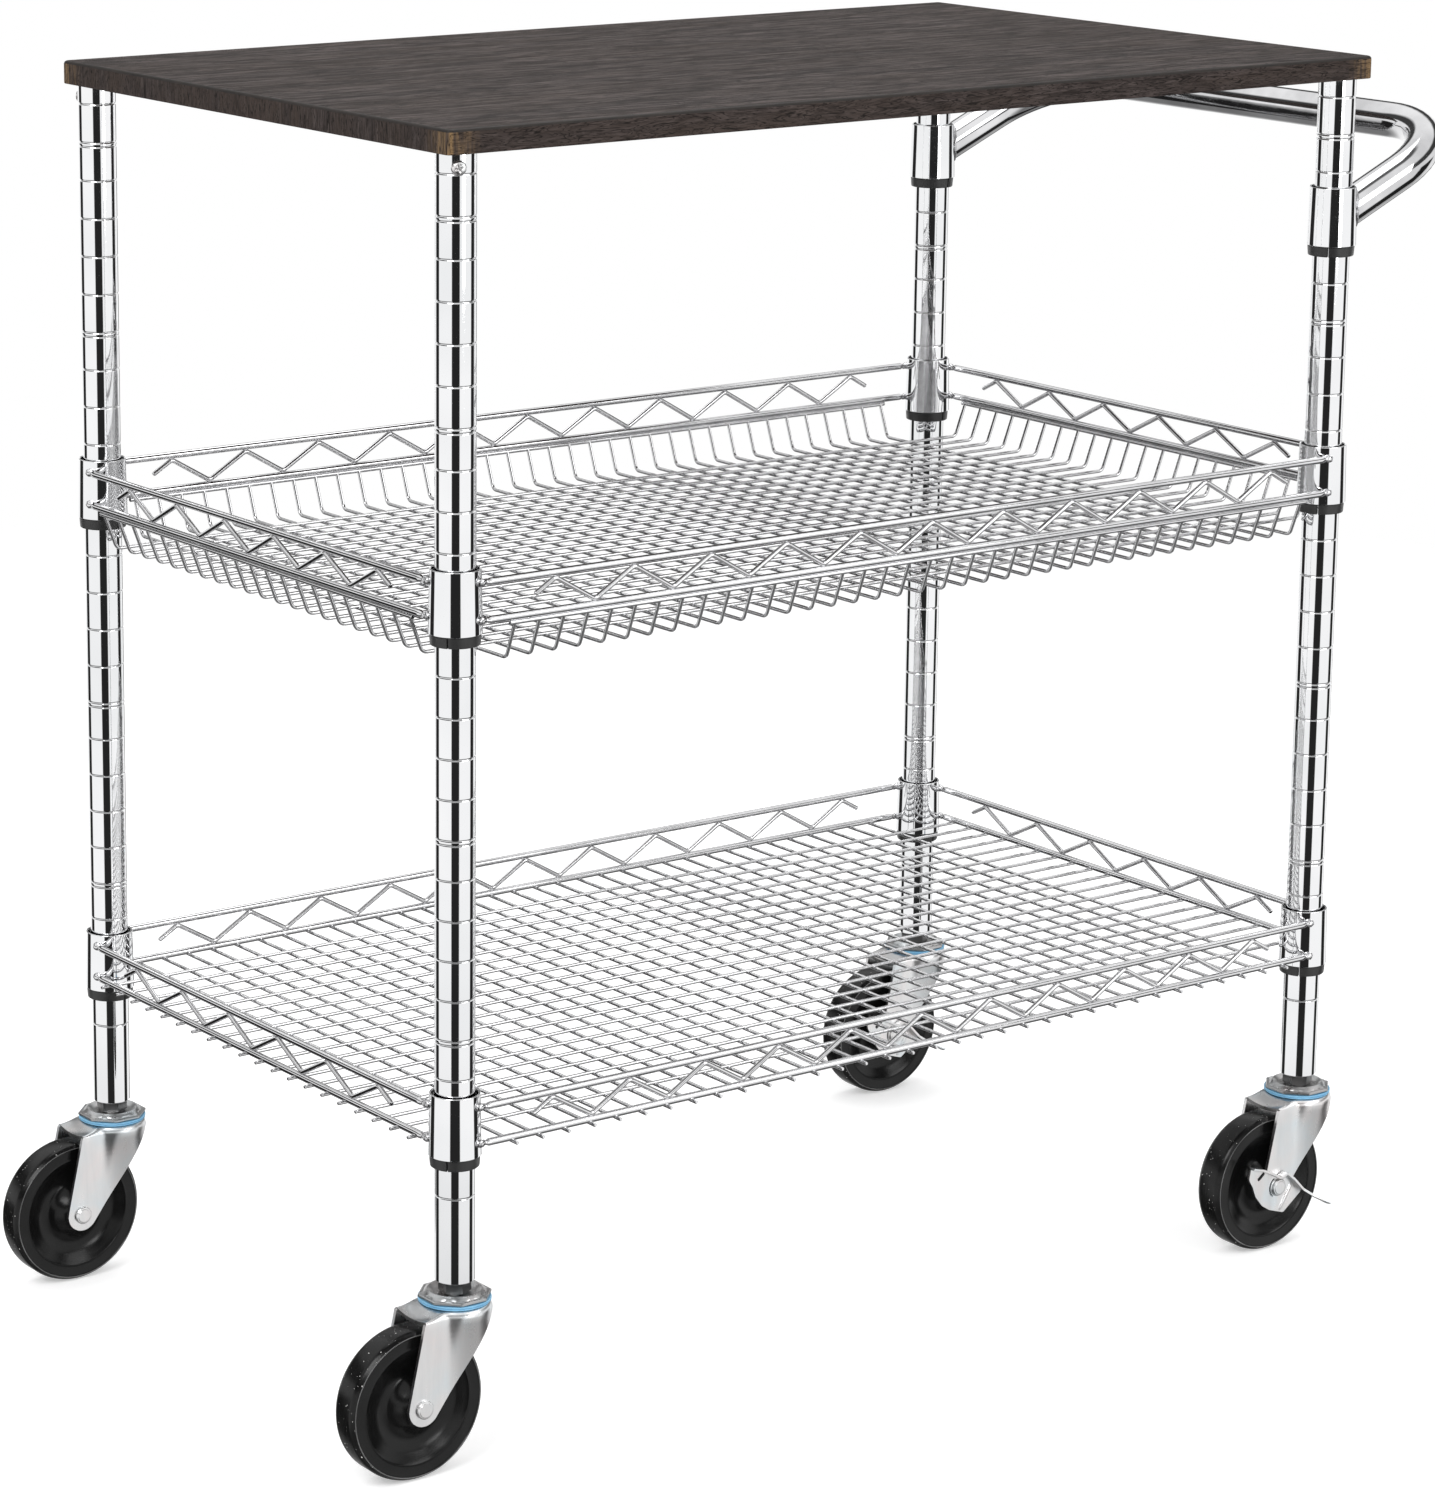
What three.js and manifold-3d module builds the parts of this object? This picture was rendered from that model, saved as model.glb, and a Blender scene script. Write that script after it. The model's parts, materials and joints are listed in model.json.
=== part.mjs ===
// Wire shelf cart: a wooden worktop on four grooved chrome posts, a wire basket, a wire shelf,
// a push handle and four swivel casters, two of them with brakes.
// Millimetres, +Z up, the floor at z = 0 and the middle of the object's box at x = y = 0.
// +X is the handle end and -Y is the front.
import * as THREE from 'three';
import { mergeVertices } from 'three/addons/utils/BufferGeometryUtils.js';
import Module from 'manifold-3d';

const wasm = await Module();
wasm.setup();

// ---- Driving dimensions ----
const GAP = 0.3; // clearance kept between touching pieces
const CUT = 20; // how far a cutting solid runs past what it cuts
const ROUND = 12; // sides of a turned piece
const AXLE_SIDES = 10; // sides of the small turned pieces on the axle
const POST_SPAN_X = 720.5; // between post axes along the cart
const POST_SPAN_Y = 421.8; // between post axes across the cart
const POST_R = 12.7;
const POST_WALL = 1.2;
const POST_FOOT_Z = 121.8;
const POST_INSERT = 22; // length of the threaded insert in a post's foot
const GROOVE_PITCH = 25.4;
const FIRST_GROOVE_Z = 812.8;

const BOARD = { overhang: 16.7, under: 825.1, thick: 15.3, cornerR: 4 };
const PLUG = { r: 11.1, length: 28, neckR: 8, neck: 8 };
const SCREW = { z: 816.6, headR: 4.75, head: 2.6, shankR: 2, length: 14, inHead: 1, holePast: 2 };
const SCREW_ASIDE = 0.32; // how far towards the cart's end a screw faces, of 1

// Collars stand 10.5 mm below a groove, which the sleeve inside them locks into.
const COLLAR = { height: 40, topR: 15.9, footR: 16.7, wall: 1.2, underGroove: 10.5 };
const SLEEVE = { shown: 7, belowTop: 6, slot: 1.6, ringR: 15.9, ringEase: 0.6, play: 0.35, looseness: 0.4 };
const HANDLE_GROOVE = 2;
const BASKET_GROOVE = 9;
const SHELF_GROOVE = 22;

const RAIL = { r: 2.4, outside: 15, endBack: 9.5, topDown: 7.5, footDown: 31.1 };
const WIRE_D = 2.4;
const WIRE_SINK = 0.4; // how far welded wires sink into each other
const NUB = 5; // wire length past the middle of a rail
const TRUSS = { pitch: 59.4, wire: 3, sink: 0.6, longPeaks: 11, endPeaks: 6 };
const SHELF_WIRES = { across: 34, along: 20, pitch: 19.8, acrossStep: 3, alongKept: [0, 6, 13, 19] };
const BASKET_WIRES = { across: 37, along: 21, pitchX: 18.14, pitchY: 18.34, acrossStep: 4, alongStep: 5 };
const BASKET = { rimR: 1.6, rimPast: 4, drop: 24, slant: 9.5, bendR: 5 };

const HANDLE = { r: 12.7, wall: 1.3, reach: 121, rise: 53, bendR: 78, rootDrop: 22.5 };
const HANDLE_STEPS = 26;
const HANDLE_SIDES = 8;
const HANDLE_END = { outward: 8, sink: 0.2, ventR: 2.5, ventAt: 0.8 }; // where the tube starts and vents
const QUARTER_TURN = 0.45; // share of the radius at which a cubic's handles draw a round quarter turn

const WHEEL = { r: 49, width: 22, hub: 29, boreR: 6.3, hubR: 11, trail: 34.3, sides: 20 };
const WHEEL_FACE = { shoulder: 3, dishR: 38, dishFootR: 15, dish: 5 };
const FORK = { top: 108.6, plate: 2.5, inner: 30, front: -35, rear: 21, endR: 10.5, lip: 7 };
const LEG = { back: 3, sink: 1 }; // a leg starts behind the brow's face and under the deck's top
const AXLE = { r: 4, headR: 6, head: 2.2 };
const RACE = { foot: 111.7, rimR: 23.5, rim: 2, ringR: 20, ring: 4.5 };
const CUP = { r: 16.2, floor: 113.9, wall: 1, slant: 3 }; // the hollow in the race that holds the nut
const SEAL = { innerR: 15, outerR: 23 };
const STEM = { r: 6, top: 152, nutR: 11.5, nut: 7, headR: 11, head: 3 };
const HOLE_R = 6.4; // hole round the stem
const BRAKE = { thick: 1.8, discR: 27, chordUp: 8.5, tilt: 31, flange: 9, pedal: 22, pedalUp: 3, pedalSink: 1 };

const FORK_OUT = FORK.inner / 2 + FORK.plate;

const CORNERS = [
  { name: 'front_left', x: -1, y: -1 },
  { name: 'front_right', x: 1, y: -1 },
  { name: 'rear_left', x: -1, y: 1 },
  { name: 'rear_right', x: 1, y: 1 },
];

// ---- Materials ----
const metal = (color, roughness) => new THREE.MeshStandardMaterial({ color, roughness, metalness: 1 });
const plain = (color, roughness) => new THREE.MeshStandardMaterial({ color, roughness, metalness: 0 });
const CHROME = metal(0xd8dadc, 0.06);
const WIRE_CHROME = metal(0xbfc1c4, 0.18);
const ZINC = metal(0xc9cdd0, 0.32);
const WOOD = plain(0x2d211b, 0.45);
const BLACK_PLASTIC = plain(0x161616, 0.5);
const WHEEL_BLACK = plain(0x131313, 0.55);
const BLUE_SEAL = plain(0x6fa9cf, 0.4);
const GREY_PLASTIC = plain(0x8d8f91, 0.5);

// ---- Solids ----
// A closed geometry with shared corners, no flattened triangles, and its faces pointing out.
function closed(geometry) {
  const bare = geometry.clone();
  bare.deleteAttribute('normal');
  bare.deleteAttribute('uv');
  const merged = mergeVertices(bare, 1e-3);
  const at = merged.attributes.position;
  const corners = [];
  let volume = 0;
  const [a, b, c] = [new THREE.Vector3(), new THREE.Vector3(), new THREE.Vector3()];
  for (let i = 0; i < merged.index.count; i += 3) {
    const [p, q, r] = [0, 1, 2].map((k) => merged.index.getX(i + k));
    if (p === q || q === r || r === p) continue;
    corners.push([p, q, r]);
    a.fromBufferAttribute(at, p);
    b.fromBufferAttribute(at, q);
    c.fromBufferAttribute(at, r);
    volume += a.dot(b.cross(c));
  }
  merged.setIndex(corners.flatMap(([p, q, r]) => (volume < 0 ? [p, r, q] : [p, q, r])));
  return merged;
}

function solid(geometry) {
  const ready = closed(geometry);
  const vertProperties = new Float32Array(ready.attributes.position.array);
  const triVerts = new Uint32Array(ready.index.array);
  return new wasm.Manifold(new wasm.Mesh({ numProp: 3, vertProperties, triVerts }));
}

function geometryOf(body) {
  const mesh = body.getMesh();
  const geometry = new THREE.BufferGeometry();
  geometry.setAttribute('position', new THREE.BufferAttribute(new Float32Array(mesh.vertProperties), 3));
  geometry.setIndex(new THREE.BufferAttribute(new Uint32Array(mesh.triVerts), 1));
  return geometry;
}

function joined(pieces, cuts = []) {
  const whole = pieces.map(solid).reduce((all, piece) => all.add(piece));
  return geometryOf(cuts.map(solid).reduce((all, piece) => all.subtract(piece), whole));
}

// A solid turned about Z from a closed outline of [radius, height] points.
function turned(outline, sides = ROUND) {
  const points = [...outline, outline[0]].map(([r, z]) => new THREE.Vector2(r, z));
  return new THREE.LatheGeometry(points, sides).rotateX(Math.PI / 2);
}

function ring(innerR, outerR, foot, top, sides = ROUND) {
  return turned([[innerR, foot], [outerR, foot], [outerR, top], [innerR, top]], sides);
}

// A straight round bar between two points.
function rod(from, to, radius, sides = 8) {
  const start = new THREE.Vector3(...from);
  const way = new THREE.Vector3(...to).sub(start);
  const bar = new THREE.CylinderGeometry(radius, radius, way.length(), sides);
  const up = new THREE.Vector3(0, 1, 0);
  const turn = new THREE.Quaternion().setFromUnitVectors(up, way.clone().normalize());
  return bar.applyQuaternion(turn).translate(...start.addScaledVector(way, 0.5).toArray());
}

function box(sizeX, sizeY, sizeZ, x, y, z) {
  return new THREE.BoxGeometry(sizeX, sizeY, sizeZ).translate(x, y, z);
}

// An outline in the XZ plane, thickened along Y about the plane y = middle.
function upright(shape, thick, middle) {
  const plate = new THREE.ExtrudeGeometry(shape, { depth: thick, bevelEnabled: false, curveSegments: 5 });
  return plate.rotateX(Math.PI / 2).translate(0, middle + thick / 2, 0);
}

// A flat wire of square section that follows a line of [x, z] points in the XZ plane.
function wire(line, width, middle = 0) {
  const points = line.map(([x, z]) => new THREE.Vector2(x, z));
  const side = (offset) => points.map((point, i) => {
    const before = points[Math.max(i - 1, 0)];
    const after = points[Math.min(i + 1, points.length - 1)];
    const into = point.clone().sub(before).normalize();
    const out = after.clone().sub(point).normalize();
    const along = into.add(out).normalize();
    const bend = i > 0 && i < points.length - 1 ? Math.abs(along.dot(out)) : 1;
    return point.clone().add(new THREE.Vector2(-along.y, along.x).multiplyScalar(offset / bend));
  });
  return upright(new THREE.Shape([...side(width / 2), ...side(-width / 2).reverse()]), width, middle);
}

const group = new THREE.Group();

function add(name, geometry, material, parent = group) {
  const mesh = new THREE.Mesh(closed(geometry), material);
  mesh.name = name;
  parent.add(mesh);
  return mesh;
}

function postOf(corner) {
  return [corner.x * POST_SPAN_X / 2, corner.y * POST_SPAN_Y / 2];
}

// ---- Worktop, posts and what joins them ----
function boardSolid() {
  const [halfX, halfY] = [POST_SPAN_X / 2 + BOARD.overhang, POST_SPAN_Y / 2 + BOARD.overhang];
  const r = BOARD.cornerR;
  const outline = new THREE.Shape();
  outline.absarc(halfX - r, halfY - r, r, 0, Math.PI / 2);
  outline.absarc(-halfX + r, halfY - r, r, Math.PI / 2, Math.PI);
  outline.absarc(-halfX + r, -halfY + r, r, Math.PI, 1.5 * Math.PI);
  outline.absarc(halfX - r, -halfY + r, r, 1.5 * Math.PI, 2 * Math.PI);
  const cast = { depth: BOARD.thick, bevelEnabled: false, curveSegments: 3 };
  const slab = new THREE.ExtrudeGeometry(outline, cast);
  const sockets = CORNERS.map((corner) => {
    const [x, y] = postOf(corner);
    const socket = ring(0, PLUG.neckR + GAP, BOARD.under - CUT, BOARD.under + PLUG.neck + GAP);
    return socket.translate(x, y, 0);
  });
  return joined([slab.translate(0, 0, BOARD.under)], sockets);
}

// The screw's way into the post: seen on one front post, and on the far side of the others.
function screwWay(corner) {
  const facing = corner.name === 'front_left' ? -1 : 1;
  const aside = corner.x * SCREW_ASIDE;
  return [aside, facing * Math.sqrt(1 - aside * aside)];
}

function screwRod(corner, fromR, toR, radius) {
  const [x, y] = screwWay(corner);
  return rod([x * fromR, y * fromR, SCREW.z], [x * toR, y * toR, SCREW.z], radius);
}

function screwHole(corner) {
  return screwRod(corner, -SCREW.holePast, CUT, SCREW.shankR + GAP);
}

// A tube with a threaded foot insert swaged into its lower end.
function postSolid(corner) {
  const bore = POST_R - POST_WALL;
  const top = BOARD.under - GAP;
  const insertTop = POST_FOOT_Z + POST_INSERT;
  const tube = turned([
    [HOLE_R, POST_FOOT_Z], [POST_R, POST_FOOT_Z], [POST_R, top],
    [bore, top], [bore, insertTop], [HOLE_R, insertTop],
  ]);
  return joined([tube], [screwHole(corner)]);
}

function plugSolid(corner) {
  const top = BOARD.under - GAP;
  const body = turned([
    [0, top - PLUG.length], [PLUG.r, top - PLUG.length], [PLUG.r, top],
    [PLUG.neckR, top], [PLUG.neckR, BOARD.under + PLUG.neck], [0, BOARD.under + PLUG.neck],
  ]);
  return joined([body], [screwHole(corner)]);
}

function screwSolid(corner) {
  const seat = POST_R + GAP;
  const shankTop = seat + SCREW.inHead;
  const shank = screwRod(corner, shankTop - SCREW.length, shankTop, SCREW.shankR);
  const head = screwRod(corner, seat, seat + SCREW.head, SCREW.headR);
  return joined([shank, head]);
}

add('table_top', boardSolid(), WOOD);
for (const corner of CORNERS) {
  const stand = new THREE.Group();
  stand.position.set(...postOf(corner), 0);
  group.add(stand);
  add(`post_${corner.name}`, postSolid(corner), CHROME, stand);
  add(`top_plug_${corner.name}`, plugSolid(corner), BLACK_PLASTIC, stand);
  add(`post_screw_${corner.name}`, screwSolid(corner), ZINC, stand);
}

// ---- Collars and the split sleeves inside them ----
function collarTop(groove) {
  return FIRST_GROOVE_Z - groove * GROOVE_PITCH - COLLAR.underGroove;
}

function collarAt(corner, groove) {
  const top = collarTop(groove);
  const foot = top - COLLAR.height;
  const { topR, footR, wall } = COLLAR;
  const collar = turned([[footR - wall, foot], [footR, foot], [topR, top], [topR - wall, top]]);
  return collar.translate(...postOf(corner), 0);
}

function sleeveSolid(groove) {
  const collarFoot = collarTop(groove) - COLLAR.height;
  const [foot, top] = [collarFoot - SLEEVE.shown, collarTop(groove) - SLEEVE.belowTop];
  const inner = POST_R + SLEEVE.play;
  const inside = COLLAR.wall + SLEEVE.looseness;
  const [wideR, narrowR] = [COLLAR.footR - inside, COLLAR.topR - inside];
  const body = turned([
    [inner, foot], [SLEEVE.ringR - SLEEVE.ringEase, foot], [SLEEVE.ringR, collarFoot - GAP],
    [wideR, collarFoot - GAP], [narrowR, top], [inner, top],
  ]);
  return joined([body], [box(SLEEVE.slot, CUT, COLLAR.height + CUT, 0, CUT / 2, (foot + top) / 2)]);
}

function addSleeves(label, groove, corners) {
  for (const corner of corners) {
    const sleeve = add(`sleeve_${label}_${corner.name}`, sleeveSolid(groove), BLACK_PLASTIC);
    sleeve.position.set(...postOf(corner), 0);
  }
}

addSleeves('shelf', SHELF_GROOVE, CORNERS);
addSleeves('basket', BASKET_GROOVE, CORNERS);
addSleeves('handle', HANDLE_GROOVE, CORNERS.filter((corner) => corner.x > 0));

// ---- Wire frames: collars, rails and zigzag trusses welded into one ring ----
const RAIL_X = POST_SPAN_X / 2 + RAIL.outside;
const RAIL_Y = POST_SPAN_Y / 2 + RAIL.outside;
const END_LIFT = WIRE_D - WIRE_SINK; // end rails rest on the wires that lie over the cross wires

// A zigzag in the XZ plane that ends in half legs, free of the collars.
function zigzag(peaks, high, low, middle) {
  const half = (peaks - 1) * TRUSS.pitch / 2;
  const line = [[-half - TRUSS.pitch / 4, (high + low) / 2]];
  for (let i = 0; i < peaks; i += 1) {
    const x = -half + i * TRUSS.pitch;
    line.push([x, high]);
    if (i < peaks - 1) line.push([x + TRUSS.pitch / 2, low]);
  }
  line.push([half + TRUSS.pitch / 4, (high + low) / 2]);
  return wire(line, TRUSS.wire, middle);
}

// One side of the ring along X at y = 0: two rails and the zigzag between them.
function side(length, peaks, highRail, lowRail) {
  const inset = RAIL.r + TRUSS.wire / 2 - TRUSS.sink;
  return [
    box(length, 2 * RAIL.r, 2 * RAIL.r, 0, 0, highRail),
    box(length, 2 * RAIL.r, 2 * RAIL.r, 0, 0, lowRail),
    zigzag(peaks, highRail - inset, lowRail + inset, 0),
  ];
}

function frameSolid(groove) {
  const top = collarTop(groove);
  const [high, low] = [top - RAIL.topDown, top - RAIL.footDown];
  const long = POST_SPAN_X - 2 * RAIL.endBack;
  const short = POST_SPAN_Y - 2 * RAIL.endBack;
  const pieces = CORNERS.map((corner) => collarAt(corner, groove));
  for (const way of [-1, 1]) {
    for (const piece of side(long, TRUSS.longPeaks, high, low)) {
      pieces.push(piece.translate(0, way * RAIL_Y, 0));
    }
    for (const piece of side(short, TRUSS.endPeaks, high, low + END_LIFT)) {
      pieces.push(piece.rotateZ(Math.PI / 2).translate(way * RAIL_X, 0, 0));
    }
  }
  return joined(pieces);
}

add('shelf_frame', frameSolid(SHELF_GROOVE), WIRE_CHROME);
add('basket_frame', frameSolid(BASKET_GROOVE), WIRE_CHROME);

// ---- Shelf deck: wires along the cart lie over the wires across it ----
// A share of the wires is here, the outermost ones among them, at their real places.
function places(count, pitch, kept) {
  return kept.map((i) => (i - (count - 1) / 2) * pitch);
}

function every(count, step) {
  return Array.from({ length: Math.ceil(count / step) }, (_, i) => i * step);
}

function deckSolid() {
  const { across, along, pitch, acrossStep, alongKept } = SHELF_WIRES;
  const lowRail = collarTop(SHELF_GROOVE) - RAIL.footDown;
  const crossZ = lowRail - RAIL.r - GAP - WIRE_D / 2;
  const alongZ = crossZ + WIRE_D - WIRE_SINK;
  const cross = places(across, pitch, every(across, acrossStep));
  const lengthwise = places(along, pitch, alongKept);
  return joined([
    ...cross.map((x) => box(WIRE_D, 2 * (RAIL_Y + NUB), WIRE_D, x, 0, crossZ)),
    ...lengthwise.map((y) => box(2 * (RAIL_X + NUB), WIRE_D, WIRE_D, 0, y, alongZ)),
  ]);
}

add('shelf_deck', deckSolid(), WIRE_CHROME);

// ---- Basket: trough-bent wires both ways, hung from four rim rods under the frame ----
// A trough line in the XZ plane, with round bends of a few steps.
function trough(halfTop, high, low) {
  const { slant, bendR } = BASKET;
  const halfFoot = halfTop - slant;
  const lean = Math.atan2(slant, high - low);
  const sweep = Math.PI / 2 - lean;
  const centreX = halfFoot - bendR * Math.tan(sweep / 2);
  const bend = [0, 1].map((t) => {
    const angle = -Math.PI / 2 + sweep * t;
    return [centreX + bendR * Math.cos(angle), low + bendR + bendR * Math.sin(angle)];
  });
  const right = [...bend, [halfTop, high]];
  return [...right.map(([x, z]) => [-x, z]).reverse(), ...right];
}

function basketSolid() {
  const { across, along, pitchX, pitchY, acrossStep, alongStep } = BASKET_WIRES;
  const lowRail = collarTop(BASKET_GROOVE) - RAIL.footDown;
  const rimZ = lowRail - RAIL.r - GAP - BASKET.rimR;
  const floorZ = rimZ - BASKET.drop;
  const alongZ = floorZ + WIRE_D - WIRE_SINK;
  const endRimZ = rimZ + END_LIFT;
  const rimX = (across - 1) * pitchX / 2 + BASKET.rimPast;
  const rimY = (along - 1) * pitchY / 2 + BASKET.rimPast;
  const pieces = [];
  for (const way of [-1, 1]) {
    pieces.push(rod([-rimX, way * RAIL_Y, rimZ], [rimX, way * RAIL_Y, rimZ], BASKET.rimR, 6));
    pieces.push(rod([way * RAIL_X, -rimY, endRimZ], [way * RAIL_X, rimY, endRimZ], BASKET.rimR, 6));
  }
  for (const x of places(across, pitchX, every(across, acrossStep))) {
    const bent = wire(trough(RAIL_Y, rimZ, floorZ), WIRE_D);
    pieces.push(bent.rotateZ(Math.PI / 2).translate(x, 0, 0));
  }
  for (const y of places(along, pitchY, every(along, alongStep))) {
    pieces.push(wire(trough(RAIL_X, endRimZ, alongZ), WIRE_D, y));
  }
  return joined(pieces);
}

add('basket_mesh', basketSolid(), WIRE_CHROME);

// ---- Push handle: a bent tube welded to two collars of its own ----
function circle(radius, sides) {
  const outline = [];
  for (let i = 0; i < sides; i += 1) {
    const angle = 2 * Math.PI * i / sides;
    outline.push(new THREE.Vector2(radius * Math.cos(angle), radius * Math.sin(angle)));
  }
  return outline;
}

function handleSolid() {
  const { r, wall, reach, rise, bendR, rootDrop } = HANDLE;
  const { outward: start, sink, ventR, ventAt } = HANDLE_END;
  const halfY = POST_SPAN_Y / 2;
  const length = Math.hypot(reach, rise);
  const root = new THREE.Vector3(POST_SPAN_X / 2, 0, collarTop(HANDLE_GROOVE) - rootDrop);
  const outward = new THREE.Vector3(reach / length, 0, rise / length);
  const at = (out, y) => root.clone().addScaledVector(outward, out).setY(y);
  const route = new THREE.CurvePath();
  const leg = length - bendR;
  const knee = bendR * QUARTER_TURN;
  route.add(new THREE.LineCurve3(at(start, -halfY), at(leg, -halfY)));
  route.add(new THREE.CubicBezierCurve3(
    at(leg, -halfY), at(length - knee, -halfY), at(length, -halfY + knee), at(length, -halfY + bendR)));
  route.add(new THREE.LineCurve3(at(length, -halfY + bendR), at(length, halfY - bendR)));
  route.add(new THREE.CubicBezierCurve3(
    at(length, halfY - bendR), at(length, halfY - knee), at(length - knee, halfY), at(leg, halfY)));
  route.add(new THREE.LineCurve3(at(leg, halfY), at(start, halfY)));
  const section = new THREE.Shape(circle(r, HANDLE_SIDES));
  section.holes.push(new THREE.Path(circle(r - wall, HANDLE_SIDES)));
  const along = { steps: HANDLE_STEPS, extrudePath: route, bevelEnabled: false };
  const tube = new THREE.ExtrudeGeometry(section, along);
  const grips = CORNERS.filter((corner) => corner.x > 0);
  const top = collarTop(HANDLE_GROOVE);
  const bores = grips.map((corner) => {
    const [x, y] = postOf(corner);
    return ring(0, COLLAR.topR - sink, top - COLLAR.height - CUT, top + CUT).translate(x, y, 0);
  });
  const saddled = joined([tube], bores);
  const vents = grips.map((corner) => {
    const vent = at(leg * ventAt, corner.y * halfY);
    return rod(vent.toArray(), [vent.x, vent.y, vent.z - CUT], ventR, 6);
  });
  return joined([saddled, ...grips.map((corner) => collarAt(corner, HANDLE_GROOVE))], vents);
}

add('handle', handleSolid(), CHROME);

// ---- Casters ----
const AXLE_Z = WHEEL.r;
const AXLE_X = -WHEEL.trail;

function stemSolid() {
  const nutFoot = CUP.floor + GAP;
  const headTop = FORK.top - FORK.plate - GAP;
  const shaft = turned([
    [0, headTop - STEM.head], [STEM.headR, headTop - STEM.head], [STEM.headR, headTop],
    [STEM.r, headTop], [STEM.r, STEM.top], [0, STEM.top],
  ]);
  const nut = ring(0, STEM.nutR, nutFoot, nutFoot + STEM.nut, 6);
  return joined([shaft, nut]);
}

// An eight-sided pressed plate with a raised ring round the nut's cup.
function raceSolid() {
  const plate = ring(0, RACE.rimR, RACE.foot, RACE.foot + RACE.rim, 8).rotateZ(Math.PI / 8);
  const crown = RACE.foot + RACE.ring;
  const ringFoot = RACE.foot + RACE.rim / 2;
  const rise = crown + CUP.wall; // the cup's slanted wall runs on to here, so it opens the crown
  const raised = turned([[0, ringFoot], [RACE.ringR, ringFoot], [CUP.r + CUP.wall, crown], [0, crown]]);
  const cup = turned([[0, CUP.floor], [CUP.r - CUP.slant, CUP.floor], [CUP.r, rise], [0, rise]]);
  return joined([plate, raised], [cup, ring(0, HOLE_R, RACE.foot - CUT, RACE.foot + CUT)]);
}

function legShape() {
  const axle = new THREE.Vector2(AXLE_X, AXLE_Z);
  const top = FORK.top - LEG.sink;
  const front = FORK.front + LEG.back;
  const touch = (x, way) => {
    const from = new THREE.Vector2(x, top).sub(axle);
    return from.angle() + way * Math.acos(FORK.endR / from.length());
  };
  const shape = new THREE.Shape();
  shape.moveTo(FORK.rear, top);
  shape.lineTo(front, top);
  shape.absarc(axle.x, axle.y, FORK.endR, touch(front, 1), touch(FORK.rear, -1) + 2 * Math.PI);
  shape.holes.push(new THREE.Path(circle(AXLE.r + GAP, ROUND).map((point) => point.add(axle))));
  return shape;
}

function forkSolid() {
  const { top, plate, front, rear, lip } = FORK;
  const middle = (front + rear) / 2;
  const deck = box(rear - front, 2 * FORK_OUT, plate, middle, 0, top - plate / 2);
  const brow = box(plate, 2 * FORK_OUT, lip, front + plate / 2, 0, top - lip / 2);
  const legs = [-1, 1].map((way) => upright(legShape(), plate, way * (FORK_OUT - plate / 2)));
  return joined([deck, brow, ...legs], [ring(0, HOLE_R, top - CUT, top + CUT)]);
}

// A turned solid whose axis is Y instead of Z.
function acrossAxis(outline, sides) {
  return turned(outline, sides).rotateX(Math.PI / 2);
}

function axleSolid(brakeRoom) {
  const [near, far] = [FORK_OUT + GAP + brakeRoom, FORK_OUT + GAP];
  return acrossAxis([
    [0, -far - AXLE.head], [AXLE.headR, -far - AXLE.head], [AXLE.headR, -far], [AXLE.r, -far],
    [AXLE.r, near], [AXLE.headR, near], [AXLE.headR, near + AXLE.head], [0, near + AXLE.head],
  ], AXLE_SIDES);
}

function bushingSolid() {
  const half = FORK.inner / 2 - GAP;
  return acrossAxis([
    [AXLE.r + GAP, -half], [WHEEL.boreR - GAP, -half], [WHEEL.boreR - GAP, half], [AXLE.r + GAP, half],
  ], AXLE_SIDES);
}

// The tread's flats, not its corners, are at the wheel's radius, so it stands flat.
function wheelSolid() {
  const half = WHEEL.width / 2;
  const hub = WHEEL.hub / 2;
  const scale = 1 / Math.cos(Math.PI / WHEEL.sides);
  const { shoulder, dishR, dishFootR, dish } = WHEEL_FACE;
  const right = [
    [WHEEL.r, half - shoulder], [WHEEL.r - shoulder, half], [dishR, half],
    [dishFootR, half - dish], [WHEEL.hubR, hub], [WHEEL.boreR, hub],
  ];
  const outline = [...right, ...right.map(([r, y]) => [r, -y]).reverse()];
  const body = acrossAxis(outline.map(([r, y]) => [r * scale, y]), WHEEL.sides);
  return body.rotateY(Math.PI / WHEEL.sides);
}

// A part-disc plate on the axle with a turned-out top edge that runs on as a pedal.
function brakeSolid() {
  const { thick, discR, chordUp, tilt, flange, pedal: length, pedalUp, pedalSink } = BRAKE;
  const near = -(FORK_OUT + GAP);
  const span = Math.acos(chordUp / discR);
  const halfChord = discR * Math.sin(span);
  const shape = new THREE.Shape();
  shape.absarc(0, 0, discR, Math.PI / 2 + span, Math.PI / 2 - span + 2 * Math.PI);
  shape.holes.push(new THREE.Path(circle(AXLE.r + GAP, ROUND)));
  const edgeMiddle = chordUp - thick / 2;
  const edge = box(2 * halfChord, flange, thick, 0, near - flange / 2, edgeMiddle);
  const pedal = box(length, flange, thick, length / 2 - pedalSink, near - flange / 2, 0);
  pedal.rotateY(THREE.MathUtils.degToRad(-pedalUp)).translate(halfChord, 0, edgeMiddle);
  const lever = joined([upright(shape, thick, near - thick / 2), edge, pedal]);
  return lever.rotateY(THREE.MathUtils.degToRad(tilt));
}

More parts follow.
